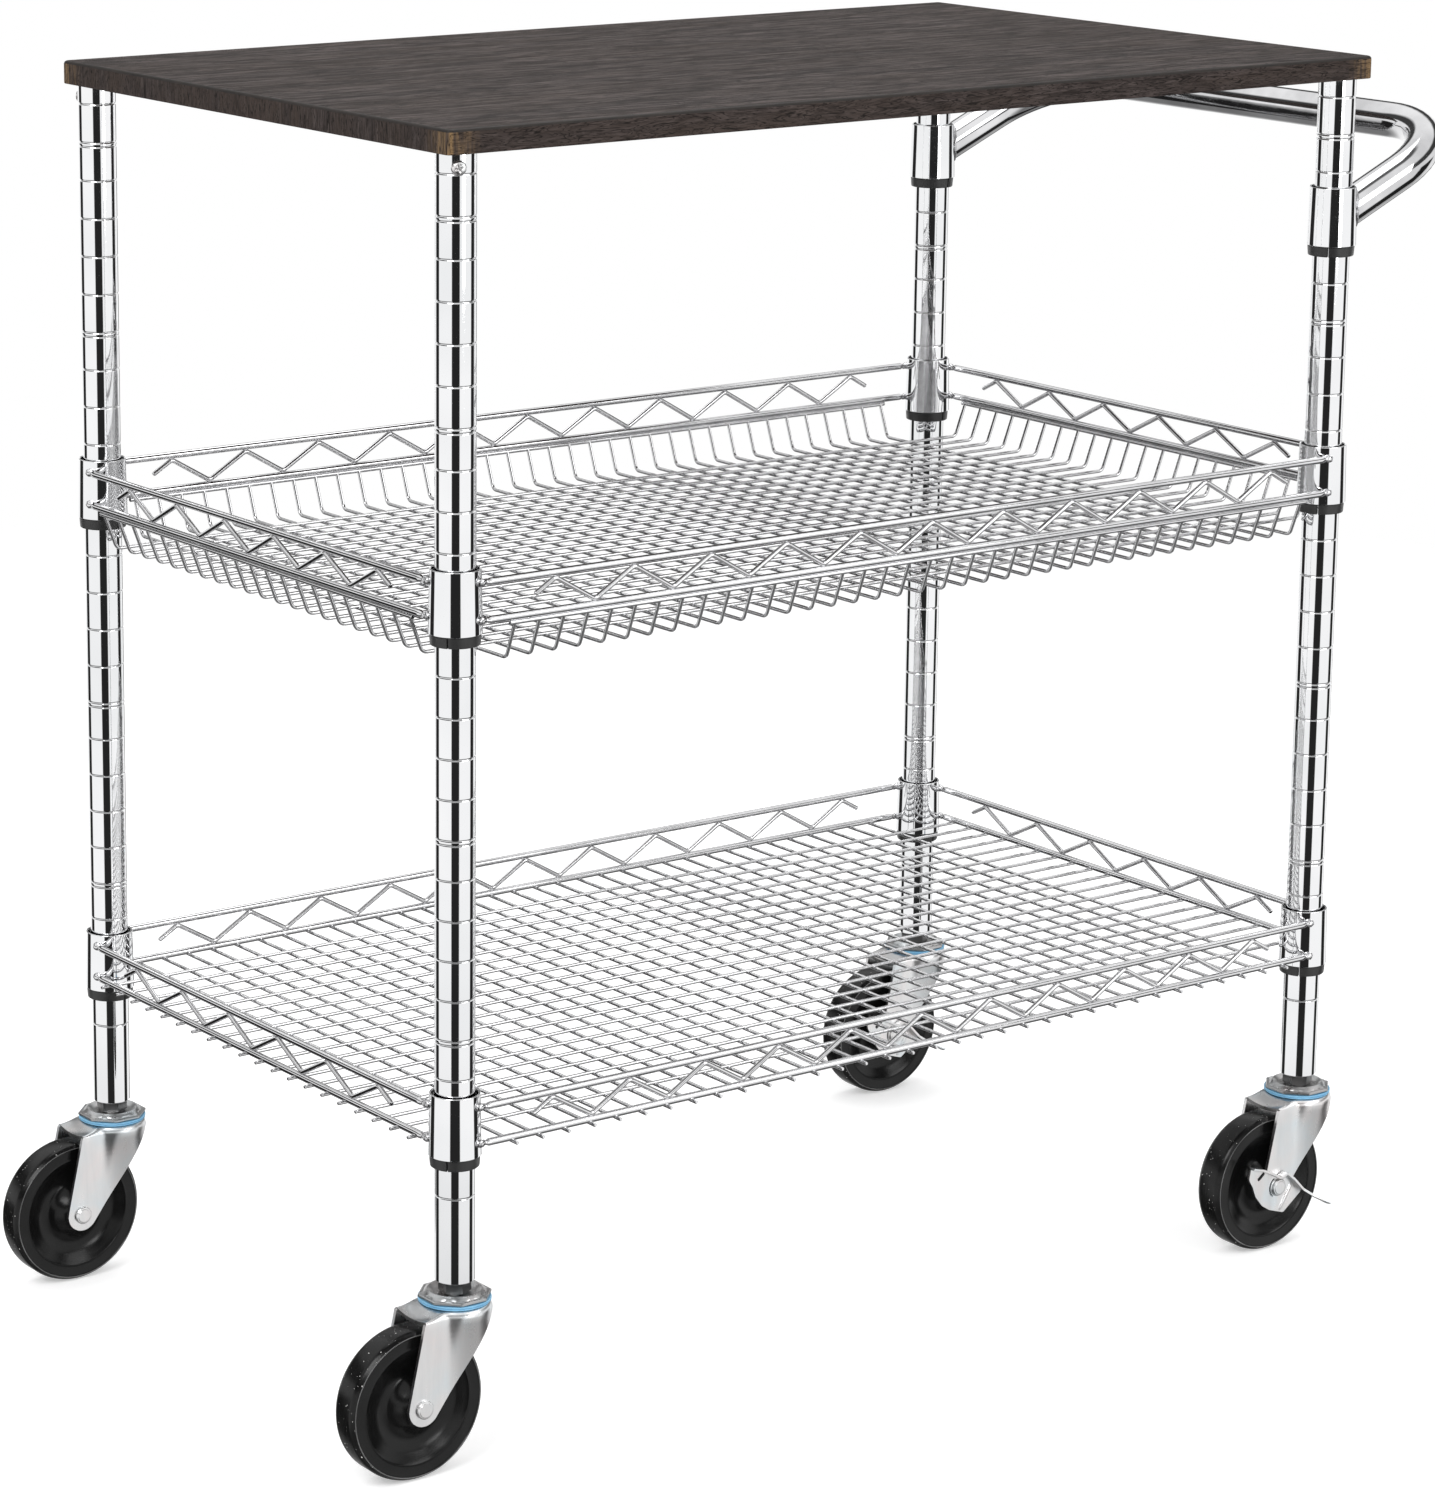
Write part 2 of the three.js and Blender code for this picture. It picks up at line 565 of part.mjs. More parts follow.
for (const corner of CORNERS) {
  const braked = corner.x > 0;
  const caster = new THREE.Group();
  caster.position.set(...postOf(corner), 0);
  group.add(caster);
  add(`caster_stem_${corner.name}`, stemSolid(), ZINC, caster);
  add(`caster_race_${corner.name}`, raceSolid(), ZINC, caster);
  const sealFoot = FORK.top + GAP;
  const seal = ring(SEAL.innerR, SEAL.outerR, sealFoot, RACE.foot - GAP);
  add(`caster_seal_${corner.name}`, seal, BLUE_SEAL, caster);
  add(`caster_fork_${corner.name}`, forkSolid(), ZINC, caster);
  const hub = new THREE.Group();
  hub.position.set(AXLE_X, 0, AXLE_Z);
  caster.add(hub);
  const brakeRoom = braked ? BRAKE.thick + GAP : 0;
  add(`caster_axle_${corner.name}`, axleSolid(brakeRoom), ZINC, hub);
  add(`caster_bushing_${corner.name}`, bushingSolid(), GREY_PLASTIC, hub);
  add(`caster_wheel_${corner.name}`, wheelSolid(), WHEEL_BLACK, hub);
  if (braked) add(`brake_lever_${corner.name}`, brakeSolid(), ZINC, hub);
}

// The origin is on the floor, under the middle of the whole cart's box.
const middle = new THREE.Box3().setFromObject(group, true).getCenter(new THREE.Vector3());
group.position.set(-middle.x, -middle.y, 0);

export default group;
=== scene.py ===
import json
import math

import bmesh
import bpy
import numpy as np
from mathutils import Matrix, Vector, noise
from mathutils.geometry import tessellate_polygon


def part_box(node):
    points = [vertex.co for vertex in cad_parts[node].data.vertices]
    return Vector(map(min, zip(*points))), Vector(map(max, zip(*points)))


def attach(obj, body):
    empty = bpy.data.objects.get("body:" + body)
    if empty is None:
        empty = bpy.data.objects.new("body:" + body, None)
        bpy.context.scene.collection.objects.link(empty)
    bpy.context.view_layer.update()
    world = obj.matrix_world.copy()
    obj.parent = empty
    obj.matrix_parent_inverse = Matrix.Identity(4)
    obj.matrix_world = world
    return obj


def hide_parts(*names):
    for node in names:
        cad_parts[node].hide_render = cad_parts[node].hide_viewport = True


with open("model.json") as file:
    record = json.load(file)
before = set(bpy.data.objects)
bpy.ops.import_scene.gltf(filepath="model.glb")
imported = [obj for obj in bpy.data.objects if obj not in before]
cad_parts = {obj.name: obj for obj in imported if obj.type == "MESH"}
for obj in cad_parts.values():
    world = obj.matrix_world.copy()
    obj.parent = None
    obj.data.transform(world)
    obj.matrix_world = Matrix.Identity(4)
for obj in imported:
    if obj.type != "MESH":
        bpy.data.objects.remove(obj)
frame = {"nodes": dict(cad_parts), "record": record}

SCENE = bpy.context.scene
TAU = 2 * math.pi
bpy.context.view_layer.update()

# ---- Places read from the frame ----


def node_box(node):
    low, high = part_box(node)
    return np.array(low) * 1000, np.array(high) * 1000


CORNERS = ("front_left", "front_right", "rear_left", "rear_right")
HANDLE_CORNERS = ("front_right", "rear_right")
POSTS = {corner: sum(node_box("post_" + corner))[:2] / 2 for corner in CORNERS}
POST_FOOT, POST_TOP = (end[2] for end in node_box("post_front_left"))
MIDDLE = (POSTS["front_left"] + POSTS["rear_right"]) / 2
HALF_X, HALF_Y = (POSTS["rear_right"] - POSTS["front_left"]) / 2

# ---- Driving dimensions ----
POST_R, POST_BORE = 12.7, 11.5
GROOVE_TOP, GROOVE_PITCH, GROOVE_COUNT = 812.8, 25.4, 26
GROOVE_DEPTH, GROOVE_HALF, DOUBLE_EVERY, DOUBLE_DROP = 0.34, 0.95, 5, 2.8
STEM_HOLE_R = 6.4

COLLAR_H, COLLAR_TOP_R, COLLAR_FOOT_R, COLLAR_WALL = 40, 15.9, 16.7, 1.2
SLEEVE_SHOWN, SLEEVE_BELOW_TOP, SLEEVE_SLIT = 7, 6, 1.0
SLIT_FRONT, SLIT_REAR = 38, 100  # where the slits stand on the front and rear posts, in degrees
COLLAR_TOP = {
    "shelf": node_box("shelf_frame")[1][2],
    "basket": node_box("basket_frame")[1][2],
    "handle": node_box("sleeve_handle_front_right")[0][2] + SLEEVE_SHOWN + COLLAR_H,
}

RAIL_R, RAIL_OUT, RAIL_END = 2.4, 15, 8.6
RAIL_DOWN_TOP, RAIL_DOWN_FOOT = 7.5, 31.1
RAIL_X, RAIL_Y = HALF_X + RAIL_OUT, HALF_Y + RAIL_OUT
WIRE_R, WIRE_SINK, NUB = 1.2, 0.5, 5
END_LIFT = 2 * WIRE_R - WIRE_SINK
TRUSS_PITCH, TRUSS_R, TRUSS_BEND, TRUSS_SINK = 59.4, 1.65, 4, 0.9
TRUSS_PEAKS = {"long": 11, "end": 6}

SHELF_ACROSS, SHELF_ALONG, SHELF_PITCH = 34, 20, 19.8
BASKET_ACROSS, BASKET_ALONG, BASKET_PITCH_X, BASKET_PITCH_Y = 37, 21, 18.14, 18.34
RIM_R, BASKET_DROP, BASKET_SLANT, BASKET_BEND = 1.6, 24, 9.5, 5
RIM_SINK, RIM_PAST, SIDE_SINK = 0.3, 4, 0.9

HANDLE_R, HANDLE_REACH, HANDLE_RISE, HANDLE_BEND, HANDLE_ROOT = 12.7, 121, 53, 78, 22.5

WHEEL_R, WHEEL_HALF, HUB_HALF, BORE_R, TRAIL = 49, 11, 14.5, 6.3, 34.3
FORK_TOP, FORK_SHEET, FORK_LEG_Y, FORK_LOBE = 108.6, 2.5, 17.5, 11.2
FORK_FRONT, FORK_REAR, FORK_CROWN_R, FORK_FOLD = -33, 18, 24, 3.2
RACE_FOOT, RACE_CORNER_R, CUP_R, CUP_FLOOR = 111.7, 23.5, 16.2, 113.9
AXLE_HEAD_R, AXLE_HEAD = 6, 2.2
BRAKE_SHEET, LEVER_GAP = 1.8, 0.5

# ---- Points and faces ----


class Shape:
    """Points and faces in millimetres, gathered before they become one mesh."""

    def __init__(self):
        self.points = []
        self.faces = []
        self.slots = []

    def cap(self, count, last):
        """Closes a tube: its rings have count points, and the far one starts at point last."""
        self.faces += [tuple(range(count)), tuple(last + i for i in reversed(range(count)))]
        self.slots += [0, 0]

    def add(self, other, matrix=None):
        base = len(self.points)
        points = other.points
        if matrix is not None:
            points = [tuple(matrix @ Vector(p)) for p in points]
        self.points += points
        self.faces += [tuple(base + i for i in face) for face in other.faces]
        self.slots += other.slots
        return self


def shape(points, faces):
    made = Shape()
    made.points = [tuple(float(v) for v in p) for p in points]
    made.faces = [tuple(int(i) for i in face) for face in faces]
    made.slots = [0] * len(made.faces)
    return made


def move(x, y, z=0.0):
    return Matrix.Translation((x, y, z))


def turn(degrees, axis="Z"):
    return Matrix.Rotation(math.radians(degrees), 4, axis)


def unit(way):
    return way / np.linalg.norm(way)


def polar(radius, angle):
    return radius * math.cos(angle), radius * math.sin(angle)


def fillet(corners, radius, steps=4, closed=False):
    """The line or outline with its corners rounded. radius is one number, or one for each corner."""
    corners = [np.array(c, float) for c in corners]
    count = len(corners)
    radii = radius if hasattr(radius, "__len__") else [radius] * count
    line = []
    for i, corner in enumerate(corners):
        ends = not closed and i in (0, count - 1)
        before, after = corners[i - 1] - corner, corners[(i + 1) % count] - corner
        room = 0.49 * min(np.linalg.norm(before), np.linalg.norm(after))
        if ends or radii[i] <= 0 or room < 1e-6:
            line.append(corner)
            continue
        before, after = unit(before), unit(after)
        half = math.acos(max(-1.0, min(1.0, float(before @ after)))) / 2
        if half > math.pi / 2 - 0.01:
            line.append(corner)
            continue
        back = min(radii[i] / math.tan(half), room)
        bend = back * math.tan(half)
        centre = corner + unit(before + after) * bend / math.sin(half)
        start, end = corner + before * back - centre, corner + after * back - centre
        sweep_angle = math.pi - 2 * half
        for k in range(steps + 1):
            share = k / steps
            a = math.sin((1 - share) * sweep_angle) / math.sin(sweep_angle)
            b = math.sin(share * sweep_angle) / math.sin(sweep_angle)
            line.append(centre + a * start + b * end)
    return line


def grid_faces(rows, columns, wrap_rows, wrap_columns):
    faces = []
    for i in range(rows if wrap_rows else rows - 1):
        for k in range(columns if wrap_columns else columns - 1):
            j, m = (i + 1) % rows, (k + 1) % columns
            faces.append((i * columns + k, i * columns + m, j * columns + m, j * columns + k))
    return faces


def lathe(outline, sides, start=0.0, end=TAU, factor=None, slots=None):
    """A closed outline of (radius, height) turned about Z. factor(angle, i) scales point i's radius."""
    full = end - start > TAU - 1e-6
    angles = np.linspace(start, end, sides, endpoint=not full)
    points = []
    for angle in angles:
        for i, (radius, height) in enumerate(outline):
            r = radius * (factor(angle, i) if factor else 1)
            points.append((*polar(r, angle), height))
    count = len(outline)
    made = shape(points, grid_faces(len(angles), count, full, True))
    if slots:
        made.slots = [slots[i % count] for i in range(len(made.faces))]
    if not full:
        made.cap(count, (len(angles) - 1) * count)
    return made


def flats(number, inner_points):
    """A factor for lathe() that gives all but inner_points a regular polygon's outline."""
    step = TAU / number

    def factor(angle, i):
        if i in inner_points:
            return 1.0
        return math.cos(step / 2) / math.cos((angle + step / 2) % step - step / 2)

    return factor


def frames_along(path, closed):
    """Two crosswise directions at each point of a line, turned as little as possible."""
    count = len(path)
    tangents = []
    for i in range(count):
        a = path[i - 1] if closed or i else path[0]
        b = path[(i + 1) % count] if closed or i < count - 1 else path[-1]
        tangents.append(unit(b - a))
    guide = np.array((0, 0, 1.0)) if abs(tangents[0][2]) < 0.9 else np.array((0, 1.0, 0))
    across = np.cross(guide, tangents[0])
    frames = []
    for tangent in tangents:
        across = unit(across - tangent * float(across @ tangent))
        frames.append((across, np.cross(tangent, across)))
    return frames


def sweep(path, radius, sides=12, closed=False, tip=0.25):
    """A round bar along a line. radius is one number, or one for each point. Its cut ends are eased."""
    path = [np.array(p, float) for p in path]
    radii = list(radius) if hasattr(radius, "__len__") else [radius] * len(path)
    if not closed and tip:
        for at, toward in ((0, 1), (-1, -2)):
            ease = tip * radii[at]
            step = path[at] + unit(path[toward] - path[at]) * ease
            path.insert(1 if at == 0 else len(path) - 1, step)
            radii.insert(1 if at == 0 else len(radii) - 1, radii[at])
            radii[at] *= 1 - tip
    points = []
    for (across, up), centre, r in zip(frames_along(path, closed), path, radii):
        for k in range(sides):
            angle = TAU * k / sides
            points.append(centre + r * (math.cos(angle) * across + math.sin(angle) * up))
    made = shape(points, grid_faces(len(path), sides, closed, True))
    if not closed:
        made.cap(sides, (len(path) - 1) * sides)
    return made


def plate(outline, thick, holes=()):
    """A flat outline in XZ, with holes, thickened towards +Y from y = 0."""
    loops = [[(x, 0.0, z) for x, z in loop] for loop in (outline, *holes)]
    flat = [p for loop in loops for p in loop]
    count = len(flat)
    points = flat + [(x, thick, z) for x, _, z in flat]
    triangles = tessellate_polygon([[Vector(p) for p in loop] for loop in loops])
    faces = [tuple(t) for t in triangles] + [tuple(i + count for i in reversed(t)) for t in triangles]
    base = 0
    for loop in loops:
        for i in range(len(loop)):
            a, b = base + i, base + (i + 1) % len(loop)
            faces.append((a, b, b + count, a + count))
        base += len(loop)
    return shape(points, faces)


def blob(centre, size, seed):
    """A lump of weld metal: a ball pushed in and out by noise."""
    rough, sides = 0.22, 14
    angles = [-math.pi / 2 + math.pi * k / (sides // 2) for k in range(sides // 2 + 1)]
    ball = lathe([(max(math.cos(a), 0.0), math.sin(a)) for a in angles], sides)
    points = []
    for p in ball.points:
        push = 1 + rough * noise.noise(Vector(p) * 1.9 + Vector((seed * 3.7, seed * 1.3, 0)))
        points.append(tuple(np.array(p) * np.array(size) * push + np.array(centre)))
    ball.points = points
    return ball


# ---- Pieces ----
MERGE, SLIVER = 2e-6, 1e-6  # metres


def add_object(name, data):
    obj = bpy.data.objects.new(name, data)
    SCENE.collection.objects.link(obj)
    return obj


def modify(obj, kind, **settings):
    added = obj.modifiers.new(kind.lower(), kind)
    for key, value in settings.items():
        setattr(added, key, value)


def freeze(obj):
    """Turns the modifiers' result into the object's own mesh."""
    seen = obj.evaluated_get(bpy.context.evaluated_depsgraph_get())
    finished = bpy.data.meshes.new_from_object(seen)
    obj.modifiers.clear()
    obj.data = finished
    finished.name = obj.name


def piece(name, made, place, materials, node, slot, body="cart", sharp=38, bevel=0.0, solid=0.0):
    """One mesh object in metres that rides on a body. Edges over sharp degrees stay crisp."""
    placed = Shape().add(made, place)
    angle = math.radians(sharp)
    mesh = bpy.data.meshes.new(name)
    mesh.from_pydata([tuple(v / 1000 for v in p) for p in placed.points], [], placed.faces)
    mesh.polygons.foreach_set("material_index", placed.slots)
    bm = bmesh.new()
    bm.from_mesh(mesh)
    bmesh.ops.remove_doubles(bm, verts=bm.verts, dist=MERGE)
    bmesh.ops.dissolve_degenerate(bm, edges=bm.edges, dist=SLIVER)
    bmesh.ops.recalc_face_normals(bm, faces=bm.faces)
    bm.to_mesh(mesh)
    bm.free()
    obj = add_object(name, mesh)
    for material in materials:
        mesh.materials.append(material)
    if solid:
        modify(obj, "SOLIDIFY", thickness=solid / 1000, offset=-1, use_even_offset=True)
    if bevel:
        modify(obj, "BEVEL", width=bevel / 1000, segments=2, limit_method="ANGLE", angle_limit=angle)
    if solid or bevel:
        freeze(obj)
    obj.data.shade_smooth()
    obj.data.set_sharp_from_angle(angle=angle)
    modify(obj, "WEIGHTED_NORMAL", keep_sharp=True)
    freeze(obj)
    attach(obj, body)
    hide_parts(node)


# ---- Materials ----


class Graph:
    """A short way to write the node tree of a material or a world."""

    def __init__(self, owner):
        owner.use_nodes = True
        self.owner = owner
        self.tree = owner.node_tree
        self.tree.nodes.clear()

    def node(self, kind, inputs=None, **settings):
        made = self.tree.nodes.new(kind)
        for key, value in settings.items():
            setattr(made, key, value)
        for key, value in (inputs or {}).items():
            socket = made.inputs[key]
            if isinstance(value, bpy.types.NodeSocket):
                self.tree.links.new(value, socket)
            elif socket.type == "RGBA":
                socket.default_value = (*value[:3], 1)
            else:
                socket.default_value = value
        return made

    def place(self, stretch=(1, 1, 1)):
        """The piece's own coordinates in metres, scaled."""
        where = self.node("ShaderNodeTexCoord").outputs["Object"]
        return self.node("ShaderNodeMapping", {"Vector": where, "Scale": stretch}).outputs["Vector"]

    def noise(self, scale, stretch=(1, 1, 1), detail=4, roughness=0.55, distortion=0.0):
        inputs = {"Vector": self.place(stretch), "Scale": scale, "Detail": detail}
        inputs.update({"Roughness": roughness, "Distortion": distortion})
        return self.node("ShaderNodeTexNoise", inputs).outputs["Fac"]

    def ramp(self, value, stops):
        """Colours or grey levels at positions from 0 to 1."""
        made = self.node("ShaderNodeValToRGB", {"Fac": value})
        elements = made.color_ramp.elements
        while len(elements) < len(stops):
            elements.new(0.5)
        for element, (at, colour) in zip(elements, stops):
            element.position = at
            element.color = (*colour, 1) if hasattr(colour, "__len__") else (colour, colour, colour, 1)
        return made.outputs["Color"]

    def mix(self, share, first, second):
        inputs = {0: share, 6: first, 7: second}
        return self.node("ShaderNodeMix", inputs, data_type="RGBA").outputs[2]

    def math(self, operation, first, second=0.0, clamp=False):
        inputs = {0: first, 1: second}
        return self.node("ShaderNodeMath", inputs, operation=operation, use_clamp=clamp).outputs[0]

    def bump(self, height, strength, distance, under=None):
        inputs = {"Height": height, "Strength": strength, "Distance": distance}
        if under is not None:
            inputs["Normal"] = under
        return self.node("ShaderNodeBump", inputs).outputs["Normal"]

    def surface(self, colour, rough, **more):
        """Ends a material's tree. An underscore in a socket's name is a space."""
        inputs = {"Base Color": colour, "Roughness": rough}
        inputs.update({key.replace("_", " "): value for key, value in more.items()})
        shader = self.node("ShaderNodeBsdfPrincipled", inputs)
        self.node("ShaderNodeOutputMaterial", {"Surface": shader.outputs["BSDF"]})
        return self.owner


def new_material(name):
    return Graph(bpy.data.materials.new(name))


def chrome(name, dark, light, smooth, dull, smudge=9.0):
    """Bright plating: faint cloudiness, polishing haze and tiny pits."""
    g = new_material(name)
    cloud = g.noise(smudge, detail=3)
    haze = g.noise(60, detail=5, roughness=0.65)
    pits = g.ramp(g.noise(900, detail=2), [(0.26, 0.0), (0.34, 1.0)])
    colour = g.mix(g.ramp(cloud, [(0.35, 0.0), (0.65, 1.0)]), dark, light)
    spread = g.mix(g.ramp(haze, [(0.35, 0.0), (0.75, 1.0)]), (smooth,) * 3, (dull,) * 3)
    rough = g.mix(pits, (dull * 2,) * 3, spread)
    wave = g.noise(14, detail=1)
    normal = g.bump(wave, 0.05, 0.002)
    normal = g.bump(pits, 0.025, 0.0001, normal)
    return g.surface(colour, rough, Metallic=1.0, Normal=normal)


ZINC_TINTS = [(0.32, (0.91, 0.97, 1.0)), (0.50, (0.97, 0.97, 0.97)), (0.68, (1.0, 0.95, 0.94))]
ZINC_WORN = (0.80, 0.82, 0.84)


def zinc_steel(name, level):
    """Zinc plate: silver with a faint pink and blue tint, fine rolling lines and small scuffs."""
    g = new_material(name)
    tints = [(at, tuple(level * c for c in colour)) for at, colour in ZINC_TINTS]
    tint = g.ramp(g.noise(34, detail=2, distortion=0.5), tints)
    streaks = g.noise(150, stretch=(1, 1, 0.10), detail=4, roughness=0.65)
    worn = tuple(level * c for c in ZINC_WORN)
    colour = g.mix(g.ramp(streaks, [(0.40, 0.0), (0.8, 0.5)]), tint, worn)
    scuffs = g.ramp(g.noise(500, stretch=(1, 0.2, 1), detail=5, roughness=0.7), [(0.62, 0.0), (0.70, 1.0)])
    rough = g.mix(scuffs, g.ramp(streaks, [(0.3, 0.25), (0.75, 0.36)]), (0.46,) * 3)
    normal = g.bump(streaks, 0.03, 0.0002)
    normal = g.bump(g.noise(60, detail=1), 0.02, 0.0006, normal)
    return g.surface(colour, rough, Metallic=1.0, Normal=normal)


WOOD_DARK, WOOD_MIDDLE = (0.018, 0.014, 0.013), (0.048, 0.038, 0.036)
WOOD_LIGHT, WOOD_WARM = (0.092, 0.074, 0.070), (0.056, 0.041, 0.034)
PORE_STAIN, EDGE_STAIN = (0.010, 0.008, 0.007), (0.020, 0.014, 0.010)
GOLD, GOLD_REACH = (0.26, 0.165, 0.080), 0.026
# Thin wavy lines where a slow pattern passes through these levels.
GRAIN_LINES = [
    (0.370, 1.0), (0.390, 0.0), (0.410, 1.0), (0.474, 1.0), (0.492, 0.0), (0.510, 1.0),
    (0.576, 1.0), (0.596, 0.0), (0.616, 1.0),
]


def dark_wood(name, along, scale=1.0, edge=False):
    """Espresso veneer: wavy grain, pores and worn golden corners. A scale under 1 is coarser."""
    g = new_material(name)
    fine = (0.12, 1, 1) if along == "x" else (1, 1, 0.12)
    bands = g.noise(330 * scale, stretch=fine, detail=5, roughness=0.62, distortion=1.3)
    broad = g.noise(22, stretch=fine, detail=3, distortion=1.4)
    pores = g.noise(780 * scale, stretch=fine, detail=3, roughness=0.6, distortion=1.2)
    pore_mask = g.ramp(pores, [(0.36, 0.25), (0.43, 1.0)])
    lines = g.noise(230 * scale, stretch=fine, detail=2, roughness=0.5, distortion=1.0)
    pore_mask = g.math("MULTIPLY", pore_mask, g.ramp(lines, GRAIN_LINES))
    low, high = (0.30, 0.72) if edge else (0.40, 0.61)  # the top's bands are crisper
    base = g.ramp(bands, [(low, WOOD_DARK), (0.50, WOOD_MIDDLE), (high, WOOD_LIGHT)])
    warm = g.mix(g.ramp(broad, [(0.35, 0.0), (0.7, 0.8 if edge else 0.5)]), base, WOOD_WARM)
    if edge:
        warm = g.mix(0.10, warm, EDGE_STAIN)
        warm = golden_corners(g, warm, bands)
    colour = g.mix(pore_mask, PORE_STAIN, warm)
    rough = g.ramp(bands, [(0.25, 0.62), (0.8, 0.50)])
    normal = g.bump(pore_mask, 0.40, 0.0003)
    normal = g.bump(bands, 0.25, 0.0004, normal)
    return g.surface(colour, rough, Normal=normal, Specular_IOR_Level=0.07)


def golden_corners(g, colour, grain):
    """Brown-gold stain near the board's corners, where the dark stain is worn thin."""
    low, high = node_box("table_top")
    half = (high - low) / 2000
    centre = (high + low) / 2000
    where = g.node("ShaderNodeTexCoord").outputs["Object"]
    apart = g.node("ShaderNodeSeparateXYZ", {"Vector": where})
    sides = []
    for axis, middle, size in (("X", centre[0], half[0]), ("Y", centre[1], half[1])):
        away = g.math("ABSOLUTE", g.math("SUBTRACT", apart.outputs[axis], float(middle)))
        sides.append(g.math("SUBTRACT", float(size), away))
    reach = g.math("MAXIMUM", sides[0], sides[1])
    worn = g.math("SUBTRACT", 1.0, g.math("DIVIDE", reach, GOLD_REACH), clamp=True)
    streaks = g.noise(420, stretch=(1, 1, 0.08), detail=3, roughness=0.6)
    streaks = g.math("MULTIPLY", g.ramp(streaks, [(0.38, 0.1), (0.62, 1.0)]), g.math("ADD", grain, 0.5))
    worn = g.math("MULTIPLY", g.math("POWER", worn, 1.4), streaks, clamp=True)
    return g.mix(worn, colour, GOLD)


def dark_rim():
    """The stain that gathers along the board's rounded top edge."""
    g = new_material("wood_rim")
    grain = g.noise(420, stretch=(0.2, 0.2, 1), detail=4)
    colour = g.ramp(grain, [(0.3, PORE_STAIN), (0.7, (0.026, 0.020, 0.017))])
    rough = g.ramp(grain, [(0.3, 0.42), (0.7, 0.56)])
    normal = g.bump(grain, 0.2, 0.0003)
    return g.surface(colour, rough, Normal=normal, Specular_IOR_Level=0.25)


def moulded(name, cloud, grain, shades, rough, strength, **more):
    """A plain moulded finish. cloud and grain are each a noise scale and its detail."""
    g = new_material(name)
    grain_noise = g.noise(grain[0], detail=grain[1])
    cloud_noise = g.noise(cloud[0], detail=cloud[1])
    colour = g.ramp(cloud_noise, [(0.3, shades[0]), (0.7, shades[1])])
    roughness = g.ramp(grain_noise, [(0.3, rough[0]), (0.7, rough[1])])
    normal = g.bump(grain_noise, strength, 0.0002)
    return g.surface(colour, roughness, Normal=normal, **more)


def wheel_plastic(name, dark, light, speckle=False):
    """Moulded black polyolefin. The tread has grit and pale specks pressed into it."""
    g = new_material(name)
    mould = g.noise(38, detail=3, distortion=0.5)
    grain = g.noise(520 if speckle else 950, detail=5, roughness=0.7)
    colour = g.ramp(mould, [(0.3, dark), (0.7, light)])
    rough = g.ramp(g.noise(120, detail=5), [(0.3, 0.15), (0.75, 0.25)])
    if speckle:
        specks = g.ramp(g.noise(1000, detail=0), [(0.82, 0.0), (0.84, 1.0)])
        dust = g.ramp(g.noise(260, detail=6, roughness=0.8), [(0.50, 0.0), (0.75, 0.12)])
        colour = g.mix(dust, colour, (0.050, 0.048, 0.047))
        colour = g.mix(specks, colour, (0.75, 0.74, 0.72))
    normal = g.bump(grain, 0.16 if speckle else 0.08, 0.0003)
    normal = g.bump(mould, 0.08, 0.0008, normal)
    return g.surface(colour, rough, Normal=normal, Specular_IOR_Level=0.24)


CHROME = chrome("chrome_tube", (0.80, 0.81, 0.82), (0.90, 0.90, 0.91), 0.02, 0.07)
WIRE = chrome("chrome_wire", (0.68, 0.68, 0.69), (0.80, 0.80, 0.81), 0.06, 0.13, smudge=26.0)
WELD = chrome("weld_metal", (0.42, 0.42, 0.43), (0.66, 0.66, 0.67), 0.12, 0.34, smudge=160.0)
# Darker copy of the tube chrome: painted shade for the greyer reflections along the handle.
HANDLE_CHROME_SHADED = chrome("chrome_handle_painted_shade", (0.56, 0.56, 0.57), (0.76, 0.76, 0.77), 0.04, 0.11, smudge=26.0)
ZINC = zinc_steel("zinc_steel", 0.83)
# Zinc plate at half brightness on the crown's top and the race: painted shade that tones down their
# reflections.
ZINC_SHADED = zinc_steel("zinc_painted_shade", 0.50)
# Zinc plate at about a fifth of its brightness on the nut and stem: painted shade for the nut's place in
# the race's cup under the post.
NUT_SHADED = zinc_steel("nut_steel_painted_shade", 0.22)
WOOD_FACE = dark_wood("wood_face", "x", scale=0.40)
WOOD_EDGE = dark_wood("wood_edge", "x", edge=True)
WOOD_END = dark_wood("wood_end", "z", edge=True)
WOOD_RIM = dark_rim()
BLACK = moulded("black_plastic", (45, 2), (700, 4), (0.012, 0.030), (0.30, 0.46), 0.12, IOR=1.5)
WHEEL_FACE = wheel_plastic("wheel_face", 0.0030, 0.0070)
WHEEL_TREAD = wheel_plastic("wheel_tread", 0.0030, 0.0070, speckle=True)
# The ridge's crest in the black plastic painted much lighter: a painted highlight along the thin raised
# ring.
WHEEL_RIDGE_HIGHLIGHT = wheel_plastic("wheel_ridge_painted_highlight", 0.06, 0.16)
SEAL_BLUES = (0.16, 0.40, 0.62), (0.24, 0.50, 0.70)
BLUE = moulded("blue_seal", (60, 3), (800, 3), SEAL_BLUES, (0.28, 0.42), 0.1)
GREY = moulded("grey_plastic", (50, 2), (500, 4), (0.20, 0.29), (0.40, 0.55), 0.12)

# ---- Worktop ----
BOARD_CORNER, BOARD_TOP_ROUND, BOARD_FOOT_ROUND = 4, 2.4, 0.8


